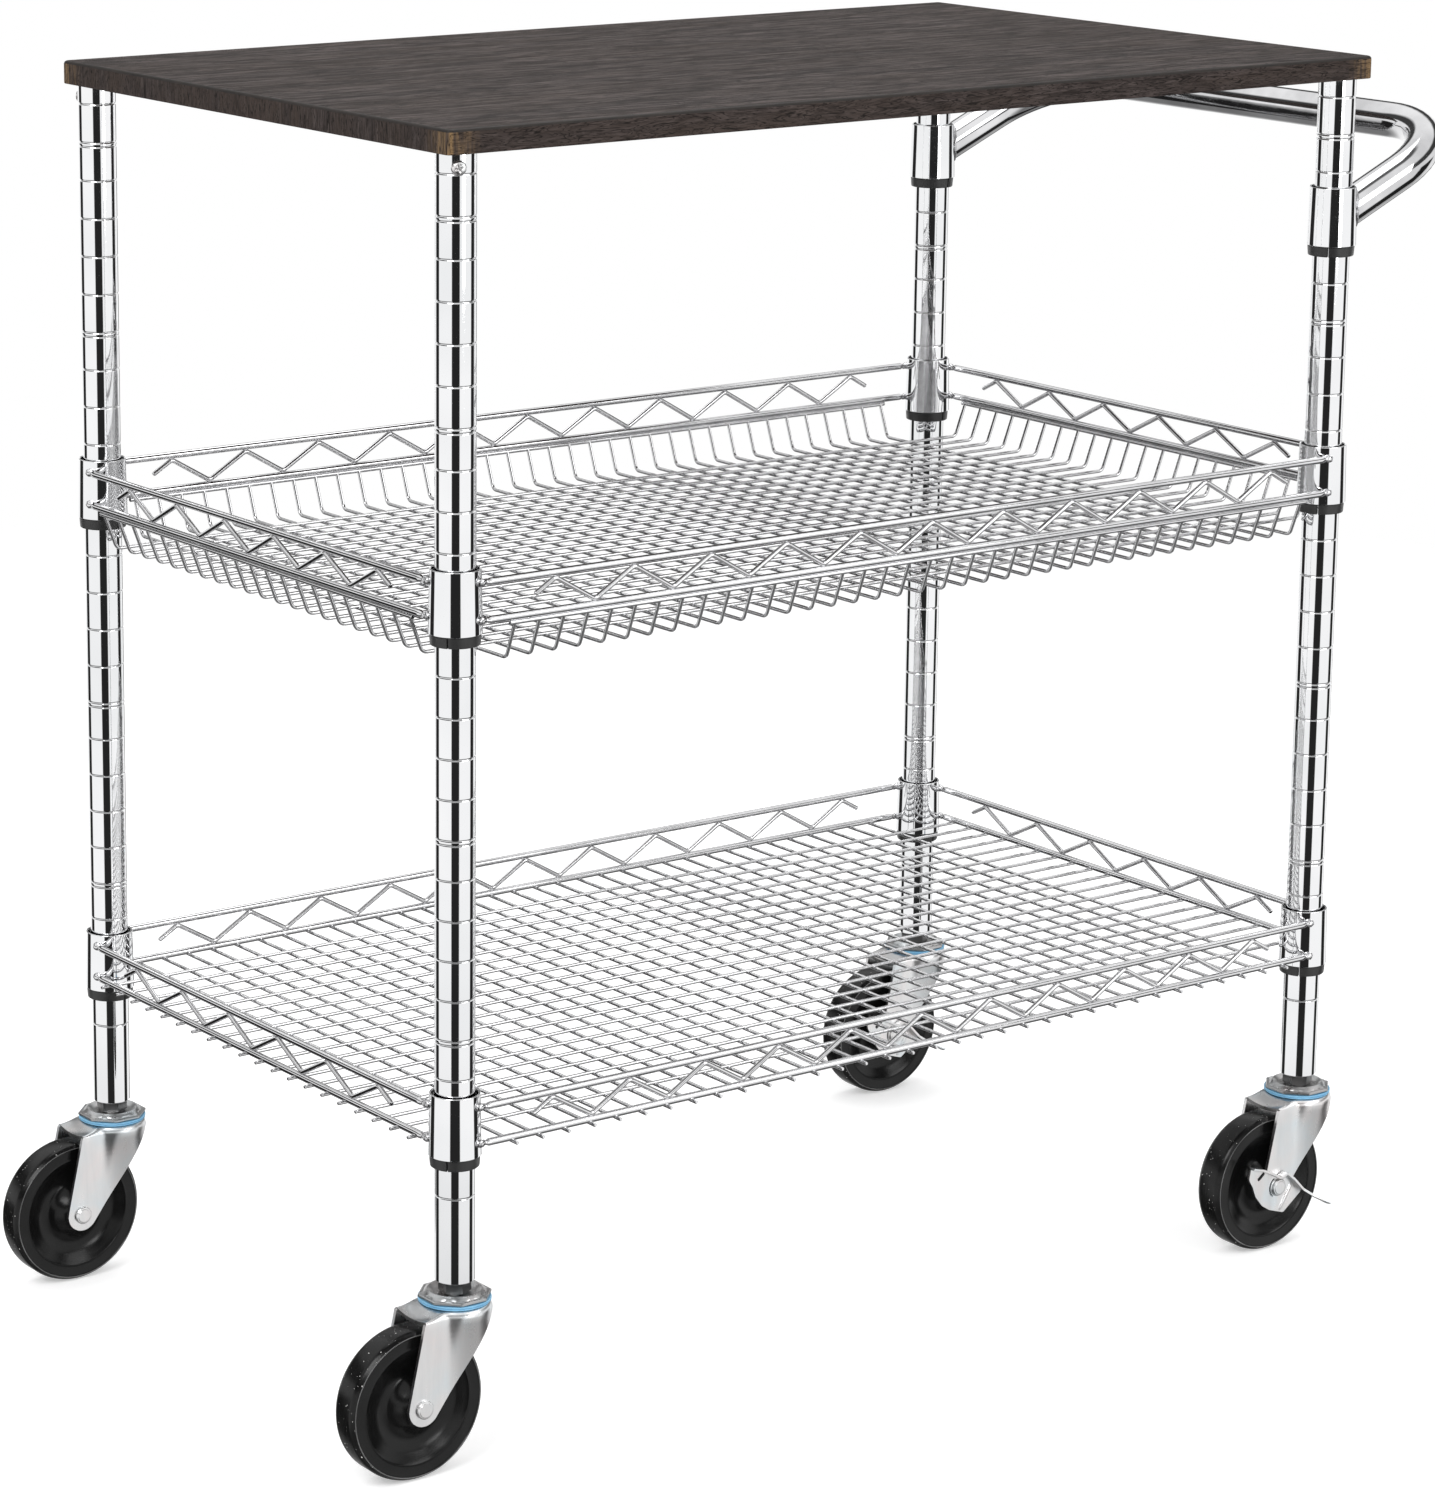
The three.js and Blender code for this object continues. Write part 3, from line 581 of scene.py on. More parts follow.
def board():
    """Rings of a rounded rectangle, stacked up the rounded edge, with flat faces at both ends."""
    low, high = node_box("table_top")
    half = (high - low) / 2
    centre = (high + low) / 2

    def ring(inset, z):
        x, y = half[0] - inset, half[1] - inset
        corners = [(x, y), (-x, y), (-x, -y), (x, -y)]
        line = fillet(corners, BOARD_CORNER - inset * 0.8, steps=5, closed=True)
        return [(centre[0] + p[0], centre[1] + p[1], z) for p in line]

    rings = []
    for k in range(5):
        angle = math.pi / 2 * k / 4
        inset = BOARD_FOOT_ROUND * (1 - math.sin(angle))
        rings.append(ring(inset, low[2] + BOARD_FOOT_ROUND * (1 - math.cos(angle))))
    for k in range(7):
        angle = math.pi / 2 * k / 6
        inset = BOARD_TOP_ROUND * (1 - math.cos(angle))
        rings.append(ring(inset, high[2] - BOARD_TOP_ROUND * (1 - math.sin(angle))))
    around = len(rings[0])
    made = shape([p for one in rings for p in one], grid_faces(len(rings), around, False, True))
    made.slots = []
    rim_foot = high[2] - 0.75 * BOARD_TOP_ROUND
    for face in made.faces:
        a, b = Vector(made.points[face[0]]), Vector(made.points[face[1]])
        lengthwise = abs(a.x - b.x) > abs(a.y - b.y)
        stained = min(a.z, b.z) > rim_foot
        made.slots.append(3 if stained else 1 if lengthwise else 2)
    last = (len(rings) - 1) * around
    made.faces += [tuple(reversed(range(around))), tuple(last + i for i in range(around))]
    made.slots += [0, 0]
    return made


BOARD_FINISHES = [WOOD_FACE, WOOD_EDGE, WOOD_END, WOOD_RIM]
piece("worktop", board(), None, BOARD_FINISHES, "table_top", "wood_top", sharp=60)

# ---- Posts ----


def groove(z):
    """One rolled groove, from its upper lip to its lower lip."""
    steps = (-1, -0.62, -0.3, 0, 0.3, 0.62, 1)
    return [
        (POST_R - GROOVE_DEPTH * math.cos(s * math.pi / 2) ** 2, z - s * GROOVE_HALF) for s in steps
    ]


def post_outline():
    outline = [(POST_BORE, POST_TOP), (POST_R - 0.3, POST_TOP), (POST_R, POST_TOP - 0.3)]
    for k in range(GROOVE_COUNT):
        z = GROOVE_TOP - k * GROOVE_PITCH
        outline += groove(z)
        if k % DOUBLE_EVERY == 1:
            outline += groove(z - DOUBLE_DROP)
    insert_top = POST_FOOT + 22
    outline += [(POST_R, POST_FOOT + 0.8), (POST_R - 0.8, POST_FOOT), (STEM_HOLE_R, POST_FOOT)]
    outline += [(STEM_HOLE_R, insert_top), (POST_BORE, insert_top)]
    return outline


SCREW_SINK, SCREW_TURN = 0.25, 20


def screw_head():
    """A pan head whose cross recess is pressed into its dome."""
    head_r, rise, rings, sides = 4.75, 2.6, 12, 48
    slot_half, slot_reach, slot_depth = 0.55, 2.6, 1.5
    points = []
    for i in range(rings + 1):
        r = head_r * i / rings
        dome = rise * (1 - (r / head_r) ** 2.6) ** 0.5
        for k in range(sides):
            angle = TAU * k / sides
            x, y = polar(r, angle)
            narrow, wide = sorted((abs(x), abs(y)))
            cross = max(0.0, 1 - narrow / slot_half) * max(0.0, 1 - (wide / slot_reach) ** 3)
            points.append((x, y, dome - slot_depth * min(1.0, cross * 1.8)))
    made = shape(points, grid_faces(rings + 1, sides, False, True))
    rim = rings * sides
    made.faces.append(tuple(rim + k for k in range(sides)))
    made.slots.append(0)
    return made


def screw_direction(corner):
    """Which way the screw faces: read from where its CAD node stands beside the post."""
    middle = sum(node_box("post_screw_" + corner)) / 2
    away = middle[:2] - POSTS[corner]
    return Vector((*away, 0)).normalized(), middle[2]


for corner in CORNERS:
    x, y = POSTS[corner]
    post, node = lathe(post_outline(), 56), "post_" + corner
    piece("post_tube_" + corner, post, move(x, y), [CHROME], node, "chrome_tube", sharp=50)
    way, z = screw_direction(corner)
    seat = Matrix.Translation(Vector((x, y, z)) + way * (POST_R - SCREW_SINK))
    place = seat @ way.to_track_quat("Z", "Y").to_matrix().to_4x4() @ turn(SCREW_TURN)
    node = "post_screw_" + corner
    piece("screw_" + corner, screw_head(), place, [ZINC], node, "zinc_steel", sharp=60)
    frame["nodes"]["top_plug_" + corner].material_slots[0].material = BLACK

# ---- Collars and sleeves ----


def collar_outline(top):
    foot = top - COLLAR_H
    corners = [
        (COLLAR_FOOT_R - COLLAR_WALL, foot), (COLLAR_FOOT_R, foot),
        (COLLAR_TOP_R, top), (COLLAR_TOP_R - COLLAR_WALL, top),
    ]
    return fillet(corners, 0.45, steps=3, closed=True)


def sleeve_halves(top):
    """Two half shells with a slit on either side."""
    collar_foot = top - COLLAR_H
    foot, head = collar_foot - SLEEVE_SHOWN, top - SLEEVE_BELOW_TOP
    inner = POST_R + 0.35
    corners = [
        (inner, foot), (COLLAR_TOP_R - 0.5, foot), (COLLAR_TOP_R, collar_foot - 0.4),
        (COLLAR_FOOT_R - COLLAR_WALL - 0.4, collar_foot - 0.4),
        (COLLAR_TOP_R - COLLAR_WALL - 0.4, head), (inner, head),
    ]
    outline = fillet(corners, [0.3, 0.7, 0.2, 0.1, 0.2, 0.2], steps=3, closed=True)
    slit = SLEEVE_SLIT / COLLAR_TOP_R / 2
    made = Shape()
    for half in (0, math.pi):
        made.add(lathe(outline, 48, half + slit, half + math.pi - slit))
    return made


def add_collars(label, corners, node):
    top = COLLAR_TOP[label]
    for corner in corners:
        place = move(*POSTS[corner])
        ring = lathe(collar_outline(top), 64)
        piece(f"collar_{label}_{corner}", ring, place, [CHROME], node, "chrome_tube")
        place = place @ turn(SLIT_FRONT if corner.startswith("front") else SLIT_REAR)
        name, hidden = f"split_sleeve_{label}_{corner}", f"sleeve_{label}_{corner}"
        piece(name, sleeve_halves(top), place, [BLACK], hidden, "black_plastic")


add_collars("shelf", CORNERS, "shelf_frame")
add_collars("basket", CORNERS, "basket_frame")
add_collars("handle", HANDLE_CORNERS, "handle")

# ---- Wire frames ----


def rail(length, z):
    """A rail along X whose ends are pinched and flared where they are welded to the collars."""
    half = length / 2
    steps = [(0, 1.05), (1.6, 1.0), (3.0, 0.62), (4.4, 0.66), (6.2, 1.0), (9, 1.0)]
    line = [(-half + s, r) for s, r in steps] + [(half - s, r) for s, r in reversed(steps)]
    return sweep([(x, 0.0, z) for x, _ in line], [RAIL_R * r for _, r in line], 16, tip=0.15)


def zigzag(peaks, high, low):
    """The truss wire between two rails. Its end legs are cut off half way down."""
    half = (peaks - 1) * TRUSS_PITCH / 2
    line = [(-half - TRUSS_PITCH / 4, 0, (high + low) / 2)]
    for i in range(peaks):
        x = -half + i * TRUSS_PITCH
        line.append((x, 0, high))
        if i < peaks - 1:
            line.append((x + TRUSS_PITCH / 2, 0, low))
    line.append((half + TRUSS_PITCH / 4, 0, (high + low) / 2))
    return sweep(fillet(line, TRUSS_BEND), TRUSS_R)


# Front, rear, left and right.
SIDES = [
    (move(*MIDDLE) @ move(0, -RAIL_Y), "long"),
    (move(*MIDDLE) @ move(0, RAIL_Y) @ turn(180), "long"),
    (move(*MIDDLE) @ move(-RAIL_X, 0) @ turn(-90), "end"),
    (move(*MIDDLE) @ move(RAIL_X, 0) @ turn(90), "end"),
]


def rail_heights(top, kind):
    """Upper and lower rail. End rails rest on the lengthwise wires, so the lower one sits higher."""
    lift = END_LIFT if kind == "end" else 0
    return top - RAIL_DOWN_TOP, top - RAIL_DOWN_FOOT + lift


def frame_side(top, kind):
    high, low = rail_heights(top, kind)
    span = 2 * (HALF_X if kind == "long" else HALF_Y)
    inset = RAIL_R + TRUSS_R - TRUSS_SINK
    made = Shape()
    made.add(rail(span - 2 * RAIL_END, high))
    made.add(rail(span - 2 * RAIL_END, low))
    made.add(zigzag(TRUSS_PEAKS[kind], high - inset, low + inset))
    return made


LUMP, SMALL_LUMP = (2.9, 2.5, 2.7), (1.8, 1.6, 1.9)  # half their length, depth and height


def weld_lumps(top, kind, seed):
    """Lumps between the rail ends and the collars' outer faces."""
    span = HALF_X if kind == "long" else HALF_Y
    made = Shape()
    for end in (-1, 1):
        for k, z in enumerate(rail_heights(top, kind)):
            x = end * (span - RAIL_END + 0.6)
            made.add(blob((x, 0.4, z), LUMP, seed + 7 * k + end))
            made.add(blob((x - end * 4.2, 0.9, z - 0.3), SMALL_LUMP, seed + 3 + 5 * k - end))
    return made


def add_frame(label):
    top, node = COLLAR_TOP[label], label + "_frame"
    rails, lumps = Shape(), Shape()
    for number, (place, kind) in enumerate(SIDES):
        rails.add(frame_side(top, kind), place)
        lumps.add(weld_lumps(top, kind, 11 * number + len(label)), place)
    piece(f"{label}_rails", rails, None, [WIRE], node, "chrome_wire")
    piece(f"{label}_rail_welds", lumps, None, [WELD], node, "chrome_wire", sharp=80)


add_frame("shelf")
add_frame("basket")

# ---- Shelf deck ----


def spread(count, pitch):
    return [(i - (count - 1) / 2) * pitch for i in range(count)]


def shelf_wires():
    cross_z = COLLAR_TOP["shelf"] - RAIL_DOWN_FOOT - RAIL_R - WIRE_R + WIRE_SINK
    along_z = cross_z + END_LIFT
    across, along = Shape(), Shape()
    for x in spread(SHELF_ACROSS, SHELF_PITCH):
        across.add(sweep([(x, -RAIL_Y - NUB, cross_z), (x, RAIL_Y + NUB, cross_z)], WIRE_R))
    for y in spread(SHELF_ALONG, SHELF_PITCH):
        along.add(sweep([(-RAIL_X - NUB, y, along_z), (RAIL_X + NUB, y, along_z)], WIRE_R))
    return across, along


for name, wires in zip(("across", "along"), shelf_wires()):
    piece("shelf_wires_" + name, wires, move(*MIDDLE), [WIRE], "shelf_deck", "chrome_wire")

# ---- Basket ----


def trough(half, high, low):
    """A wire from one rim down its slanted side, along the bottom and up to the other rim."""
    foot = half - BASKET_SLANT
    corners = [(-half, 0, high), (-foot, 0, low), (foot, 0, low), (half, 0, high)]
    return sweep(fillet(corners, BASKET_BEND, steps=5), WIRE_R)


def basket_parts():
    low_rail = COLLAR_TOP["basket"] - RAIL_DOWN_FOOT
    rim_z = low_rail - RAIL_R - RIM_R + RIM_SINK
    floor_z = rim_z - BASKET_DROP
    rim_x = (BASKET_ACROSS - 1) * BASKET_PITCH_X / 2 + RIM_PAST
    rim_y = (BASKET_ALONG - 1) * BASKET_PITCH_Y / 2 + RIM_PAST
    end_z = rim_z + END_LIFT
    rim, across, along, ties = Shape(), Shape(), Shape(), Shape()
    for way in (-1, 1):
        rim.add(sweep([(-rim_x, way * RAIL_Y, rim_z), (rim_x, way * RAIL_Y, rim_z)], RIM_R))
        rim.add(sweep([(way * RAIL_X, -rim_y, end_z), (way * RAIL_X, rim_y, end_z)], RIM_R))
        for share in (-0.96, -0.33, 0.33, 0.96):
            size = (2.6, 1.5, 1.3)
            ties.add(blob((share * rim_x, way * RAIL_Y, rim_z + RIM_R), size, 5 * share + way))
            size = (1.5, 2.6, 1.3)
            ties.add(blob((way * RAIL_X, share * rim_y, end_z + RIM_R), size, 9 * share + way))
    for x in spread(BASKET_ACROSS, BASKET_PITCH_X):
        across.add(trough(RAIL_Y, rim_z + SIDE_SINK, floor_z), move(x, 0) @ turn(90))
    for y in spread(BASKET_ALONG, BASKET_PITCH_Y):
        along.add(trough(RAIL_X, end_z + SIDE_SINK, floor_z + END_LIFT), move(0, y))
    return {"rim": rim, "wires_across": across, "wires_along": along, "ties": ties}


for name, wires in basket_parts().items():
    finish = WELD if name == "ties" else WIRE
    piece("basket_" + name, wires, move(*MIDDLE), [finish], "basket_mesh", "chrome_wire")

# ---- Push handle ----


def onto_collar(point, way, post_xy, radius):
    """Slides a point along way until it meets the round wall of a collar."""
    across = np.array(point[:2]) - post_xy
    a = way[0] ** 2 + way[1] ** 2
    b = 2 * float(across @ way[:2])
    c = float(across @ across) - radius**2
    return np.array(point) + way * ((-b + math.sqrt(max(b * b - 4 * a * c, 0.0))) / (2 * a))


def handle_parts():
    """The bent tube with its ends cut to the collars, and the weld bead round each end."""
    sides = 40
    x, z = HALF_X + HANDLE_REACH, COLLAR_TOP["handle"] - HANDLE_ROOT
    corners = [(HALF_X, -HALF_Y, z), (x, -HALF_Y, z + HANDLE_RISE), (x, HALF_Y, z + HANDLE_RISE)]
    path = fillet(corners + [(HALF_X, HALF_Y, z)], HANDLE_BEND, steps=14)
    tube = sweep(path, HANDLE_R, sides, tip=0.0)
    points = [np.array(p) for p in tube.points]
    rows = len(points) // sides
    beads = Shape()
    ends = (
        (0, path[1] - path[0], np.array((HALF_X, -HALF_Y))),
        (rows - 1, path[-2] - path[-1], np.array((HALF_X, HALF_Y))),
    )
    for row, way, post_xy in ends:
        way = unit(way)
        start = row * sides
        for at in range(start, start + sides):
            points[at] = onto_collar(points[at], way, post_xy, COLLAR_TOP_R - 0.3)
        outside = points[start : start + sides]
        bead = [onto_collar(p - way * 3, way, post_xy, COLLAR_TOP_R + 0.8) for p in outside]
        thick = [1.1 + 0.35 * noise.noise(Vector(p) * 0.35) for p in bead]
        beads.add(sweep(bead, thick, 10, closed=True))
    tube.points = [tuple(p) for p in points]
    return tube, beads


# The handle tube takes the darker chrome of painted shade.
for name, part, finish in zip(("handle_tube", "handle_welds"), handle_parts(), (HANDLE_CHROME_SHADED, WELD)):
    piece(name, part, move(*MIDDLE), [finish], "handle", "chrome_tube", sharp=60)

# ---- Casters ----


def race():
    """An eight-sided pressed plate, raised to a ring round the nut's cup."""
    crown = RACE_FOOT + 4.5
    outline = [
        (STEM_HOLE_R, RACE_FOOT + 0.4), (17, RACE_FOOT + 0.4), (RACE_CORNER_R - 0.4, RACE_FOOT),
        (RACE_CORNER_R, RACE_FOOT + 0.5), (RACE_CORNER_R, RACE_FOOT + 1.5),
        (RACE_CORNER_R - 0.6, RACE_FOOT + 2.0), (21.0, RACE_FOOT + 2.1), (19.2, RACE_FOOT + 3.0),
        (CUP_R + 1.6, crown - 0.3), (CUP_R + 0.8, crown), (CUP_R, crown - 0.3),
        (CUP_R - 2.2, CUP_FLOOR + 0.3), (CUP_R - 3.4, CUP_FLOOR), (STEM_HOLE_R, CUP_FLOOR),
    ]
    return lathe(outline, 96, factor=flats(8, {0, 1, *range(7, 14)}))


def stem():
    """The threaded stem with its hex nut. The thread is cut as rings."""
    thread_r, root_r, pitch, point_r = 6.0, 5.3, 1.5, 5.0
    nut_r, nut_foot, nut_top = 10.3, CUP_FLOOR, POST_FOOT - 0.3
    flat_r = nut_r * math.cos(math.pi / 6)
    nut = [
        (5.9, nut_foot), (flat_r - 0.3, nut_foot), (nut_r, nut_foot + 1.0), (nut_r, nut_top - 1.0),
        (flat_r - 0.3, nut_top), (5.9, nut_top),
    ]
    made = lathe(nut, 72, factor=flats(6, {0, 1, 4, 5}))
    thread = [(0, FORK_TOP - 3), (thread_r, FORK_TOP - 3)]
    z, top = FORK_TOP, node_box("caster_stem_front_left")[1][2]
    while z < top - 2:
        thread += [(thread_r, z), (root_r, z + pitch / 2), (thread_r, z + pitch)]
        z += pitch
    thread += [(point_r, top), (0, top)]
    return Shape().add(made, turn(-5)).add(lathe(thread, 32))


def seal():
    """A soft ring with a lip over a groove over a second lip."""
    low, high = node_box("caster_seal_front_left")
    z0, z1 = low[2], high[2]
    zm = (z0 + z1) / 2
    corners = [
        (15, z0), (22.6, z0), (23.2, zm - 0.45), (22.4, zm), (23.2, zm + 0.45), (22.9, z1), (15, z1),
    ]
    return lathe(fillet(corners, [0.2, 0.4, 0.3, 0.1, 0.3, 0.4, 0.2], steps=3, closed=True), 72)


# The legs splay out to the crown's width between two heights, and the rear edge swells a little.
SPLAY_FOOT, SPLAY_TOP, SPLAY_POWER, REAR_SWELL = 52, FORK_TOP - 5, 1.25, 1.4
# The crown rises under the bearing and droops over its front, most in the middle.
CROWN_RISE, CROWN_RISE_R, CROWN_DROOP, MIDDLE_DROOP, DROOP_LENGTH = 1.6, 30, 1.4, 2.6, 12


def leg_edges(z):
    """Front and rear edge of a leg at height z: straight edges that run into the round lobe at the axle."""
    top = FORK_TOP - 3
    found = []
    for start, side in ((FORK_FRONT, -1), (FORK_REAR, 1)):
        away = np.array((start + TRAIL, top - WHEEL_R))
        angle = math.atan2(away[1], away[0]) - side * math.acos(FORK_LOBE / np.linalg.norm(away))
        touch = np.array(polar(FORK_LOBE, angle)) + np.array((-TRAIL, WHEEL_R))
        if z >= touch[1]:
            share = (z - touch[1]) / (top - touch[1])
            bulge = REAR_SWELL * math.sin(math.pi * min(share, 1.0)) if side > 0 else 0.0
            found.append(touch[0] + (start - touch[0]) * share + bulge)
        else:
            reach = math.sqrt(max(FORK_LOBE**2 - (z - WHEEL_R) ** 2, 0.0))
            found.append(-TRAIL + side * reach)
    return found


def smooth(value, low, high):
    share = min(1.0, max(0.0, (value - low) / (high - low)))
    return share * share * (3 - 2 * share)


def crown_half(x):
    """Half the width of the crown at x: straight sides in front of a round part under the bearing."""
    disc = math.sqrt(max(FORK_CROWN_R**2 - x * x, 0.0))
    if x > 0:
        return disc
    return 0.5 * (disc + FORK_LEG_Y + math.hypot(disc - FORK_LEG_Y, 1.0))


def leg_half(x, z):
    """How far a leg's outer face stands from the middle plane."""
    share = min(1.0, max(0.0, (z - SPLAY_FOOT) / (SPLAY_TOP - SPLAY_FOOT)))
    return FORK_LEG_Y + (crown_half(x) - FORK_LEG_Y) * share**SPLAY_POWER


def fork():
    """One pressed sheet: a leg, over the crown, and the other leg. Slot 1 is the crown's top, which gets
    the darker zinc of painted shade.
    """
    columns, edge = 34, FORK_FOLD
    leg_top = FORK_TOP - CROWN_RISE - edge
    lobe = [WHEEL_R - FORK_LOBE * math.cos(math.pi / 2 * k / 8) for k in range(8)]
    heights = lobe + list(np.linspace(WHEEL_R, leg_top, 16))
    heights[0] = WHEEL_R - FORK_LOBE + 0.02  # just over the lobe's foot, where its width would be nothing

    def leg_row(z):
        front, rear = leg_edges(z)
        across = [front + (rear - front) * u for u in np.linspace(0, 1, columns)]
        return [(x, -leg_half(x, z), z) for x in across]

    def crown_row(angle, share):
        front = FORK_FRONT + 0.2
        back = FORK_CROWN_R - (FORK_CROWN_R - FORK_REAR) * share**2
        row = []
        for u in np.linspace(0, 1, columns):
            half = crown_half(front + (FORK_REAR - front) * u)
            y = (half - edge + edge * math.cos(angle)) * share
            x = front + (back - front) * u
            z = leg_top + edge * math.sin(angle)
            z += CROWN_RISE * smooth(CROWN_RISE_R - math.hypot(x, y), 0, 8) * math.sin(angle)
            droop = CROWN_DROOP + MIDDLE_DROOP * max(0.0, 1 - (y / FORK_LEG_Y) ** 2)
            z -= droop * smooth(front + DROOP_LENGTH - x, 0, DROOP_LENGTH) * math.sin(angle)
            row.append((x, -y, z))
        return row

    near = [leg_row(z) for z in heights]
    near += [crown_row(math.pi / 2 * k / 5, 1) for k in range(1, 6)]
    near += [crown_row(math.pi / 2, share) for share in (0.8, 0.6, 0.4, 0.2)]
    far = [[(x, -y, z) for x, y, z in row] for row in reversed(near)]
    rows = near + [crown_row(math.pi / 2, 0.0)] + far
    made = shape([p for row in rows for p in row], grid_faces(len(rows), columns, False, False))
    first = len(heights) + 3
    last = len(rows) - first - 1
    made.slots = [1 if first <= k // (columns - 1) < last else 0 for k in range(len(made.faces))]
    return made


def axle(near_face, far_face):
    """A riveted pin across the fork, with a flat-topped round head on either side."""
    core, head, flat = 4.0, AXLE_HEAD_R, AXLE_HEAD_R - 1.6
    half = [(0, 0), (flat, 0), (flat + 0.3, 0.35), (head - 0.5, 0.45), (head, 1.0)]
    half += [(head, AXLE_HEAD), (core, AXLE_HEAD)]
    outline = [(r, -near_face - AXLE_HEAD + down) for r, down in half]
    outline += [(r, far_face + AXLE_HEAD - down) for r, down in reversed(half)]
    return Shape().add(lathe(outline, 40), turn(-90, "X"))


# Tread and ridge: depth under the tread, depth under the side. Face: radius, depth under the side.
# Hub: radius, depth under the hub's end.
TREAD_PROFILE = [
    (0, 4.4), (0.4, 2.8), (1.2, 1.4), (2.0, 0.7), (2.2, 0.1), (2.6, -0.1), (3.0, 0.1), (3.3, 0.7),
]
FACE_PROFILE = [
    (39.6, 0.9), (39.0, 0.6), (38.4, 0.6), (37.9, 1.2), (35.5, 2.0), (31.5, 4.0),
    (27.5, 5.6), (23.0, 6.0), (19.5, 5.0), (16.5, 2.6), (14.0, -0.4),
]
HUB_PROFILE = [(12.2, 1.2), (10.8, 0.3), (9.8, 0), (BORE_R, 0)]
TREAD_DEPTH, CREST_TOP, CREST_FOOT = 2.2, 2.1, 3.1


def wheel():
    """Tread, thin raised ridge, dished face and hub. Slot 1 is the tread, slot 2 the ridge's crest, painted
    lighter as a highlight.
    """
    half = [(WHEEL_R, 0)] + [(WHEEL_R - down, WHEEL_HALF - inward) for down, inward in TREAD_PROFILE]
    half += [(r, WHEEL_HALF - inward) for r, inward in FACE_PROFILE]
    half += [(r, HUB_HALF - inward) for r, inward in HUB_PROFILE]
    outline = half + [(r, -y) for r, y in reversed(half[1:])]
    slots = []
    for a, b in zip(outline, outline[1:] + outline[:1]):
        inner, outer = sorted((a[0], b[0]))
        crest = WHEEL_R - CREST_FOOT < inner and outer < WHEEL_R - CREST_TOP
        slots.append(2 if crest else 1 if inner >= WHEEL_R - TREAD_DEPTH else 0)
    return Shape().add(lathe(outline, 128, slots=slots), turn(-90, "X"))


def bushing():
    """The wheel's inner sleeve on the axle."""
    bore, outer, half = 4.3, 5.9, 14.6
    corners = [(bore, -half), (outer, -half), (outer, half), (bore, half)]
    return Shape().add(lathe(fillet(corners, 0.3, closed=True), 32), turn(-90, "X"))


# The brake lever's own XZ places are about the axle; its sheet lies just outside the leg.
LEVER_EDGE = [
    (-26.0, 19.5), (-17.0, 17.0), (-6.0, 11.8), (0.5, 7.8), (6.5, 10.6), (13.0, 5.0), (20.5, -3.4),
]
LEVER_ARM = [(27.5, -8.4), (40.0, -16.0)]
LEVER_FOOT = [
    (22.6, -7.5), (6.0, -20.0), (-7.5, -15.6), (-14.8, -11.0), (-21.0, -3.5), (-24.5, 5.0), (-28.0, 10.0),
]
LEVER_BENDS = [2.5] + [3.0] * 5 + [1.0, 1.0, 2.0] + [8.0] * 4 + [5.0]
LEVER_SLOT = [(-20.3, 9.5), (-14.3, 14.0), (-12.7, 12.0), (-18.7, 7.4)]


def lever_sheet():
    """The stamped plate with a slanted slot, the axle's hole and a curved slit beside it."""
    outline = fillet(LEVER_EDGE + LEVER_FOOT, LEVER_BENDS, closed=True)
    hole = [polar(4.4, a) for a in np.linspace(TAU, 0, 24, endpoint=False)]
    slot = fillet(LEVER_SLOT, 1.0, steps=3, closed=True)
    angles = np.radians(np.linspace(118, 235, 13))
    slit = [polar(8.3, a) for a in angles] + [polar(7.1, a) for a in reversed(angles)]
    return plate([tuple(p) for p in outline], BRAKE_SHEET, [hole, [tuple(p) for p in slot], slit])


def lever_flange():
    """The turned-out top edge, which runs on as the pedal and widens towards its tip."""
    path = fillet(LEVER_EDGE + LEVER_ARM, [0, 3, 4, 4, 3, 4, 5, 8, 0])
    lengths = np.cumsum([0] + [np.linalg.norm(b - a) for a, b in zip(path, path[1:])])
    rows, shares = [], (0, 0.25, 0.5, 0.75, 1)
    for (x, z), along in zip(path, lengths / lengths[-1]):
        out = 3.6 + 2.0 * smooth(along, 0.45, 0.7) + 8.5 * smooth(along, 0.7, 1.0)
        start = 5.0 * smooth(along, 0.72, 0.9)
        curl = 1.2 * smooth(along, 0.9, 1.0)
        inner, width = BRAKE_SHEET - start, out + BRAKE_SHEET - start
        rows.append([(x, inner - s * width, z + curl * (1 - 2 * s) ** 2) for s in shares])
    return shape([p for row in rows for p in row], grid_faces(len(rows), 5, False, False))


def lever_details():
    """A bead pressed from the top edge down to the foot, and a low boss under the axle's head."""
    bead_line = [
        (12.3, 0.9, 1.0), (11.8, 0.5, -1.5), (7.0, 0.45, -9.0), (2.6, 0.5, -16.0), (1.8, 0.9, -17.6),
    ]
    bead = sweep(bead_line, [0.7, 1.5, 1.6, 1.5, 0.7])
    boss = lathe([(4.5, 0.3), (4.5, -0.5), (6.2, -0.5), (6.8, 0.3)], 40)
    return Shape().add(bead).add(boss, turn(-90, "X"))


def add_brake(corner, hub):
    """Three shells of the one stamping: sheet, turned edge with pedal, and pressed details."""
    place = hub @ move(0, -(FORK_LEG_Y + LEVER_GAP + BRAKE_SHEET))
    body, node = "brake_" + corner, "brake_lever_" + corner
    shells = [
        ("sheet", lever_sheet(), {"sharp": 32, "bevel": 0.35}),
        ("pedal", lever_flange(), {"sharp": 40, "bevel": 0.3, "solid": BRAKE_SHEET}),
        ("bead", lever_details(), {}),
    ]
    for label, made, edges in shells:
        piece(f"brake_{label}_{corner}", made, place, [ZINC], node, "zinc_steel", body, **edges)


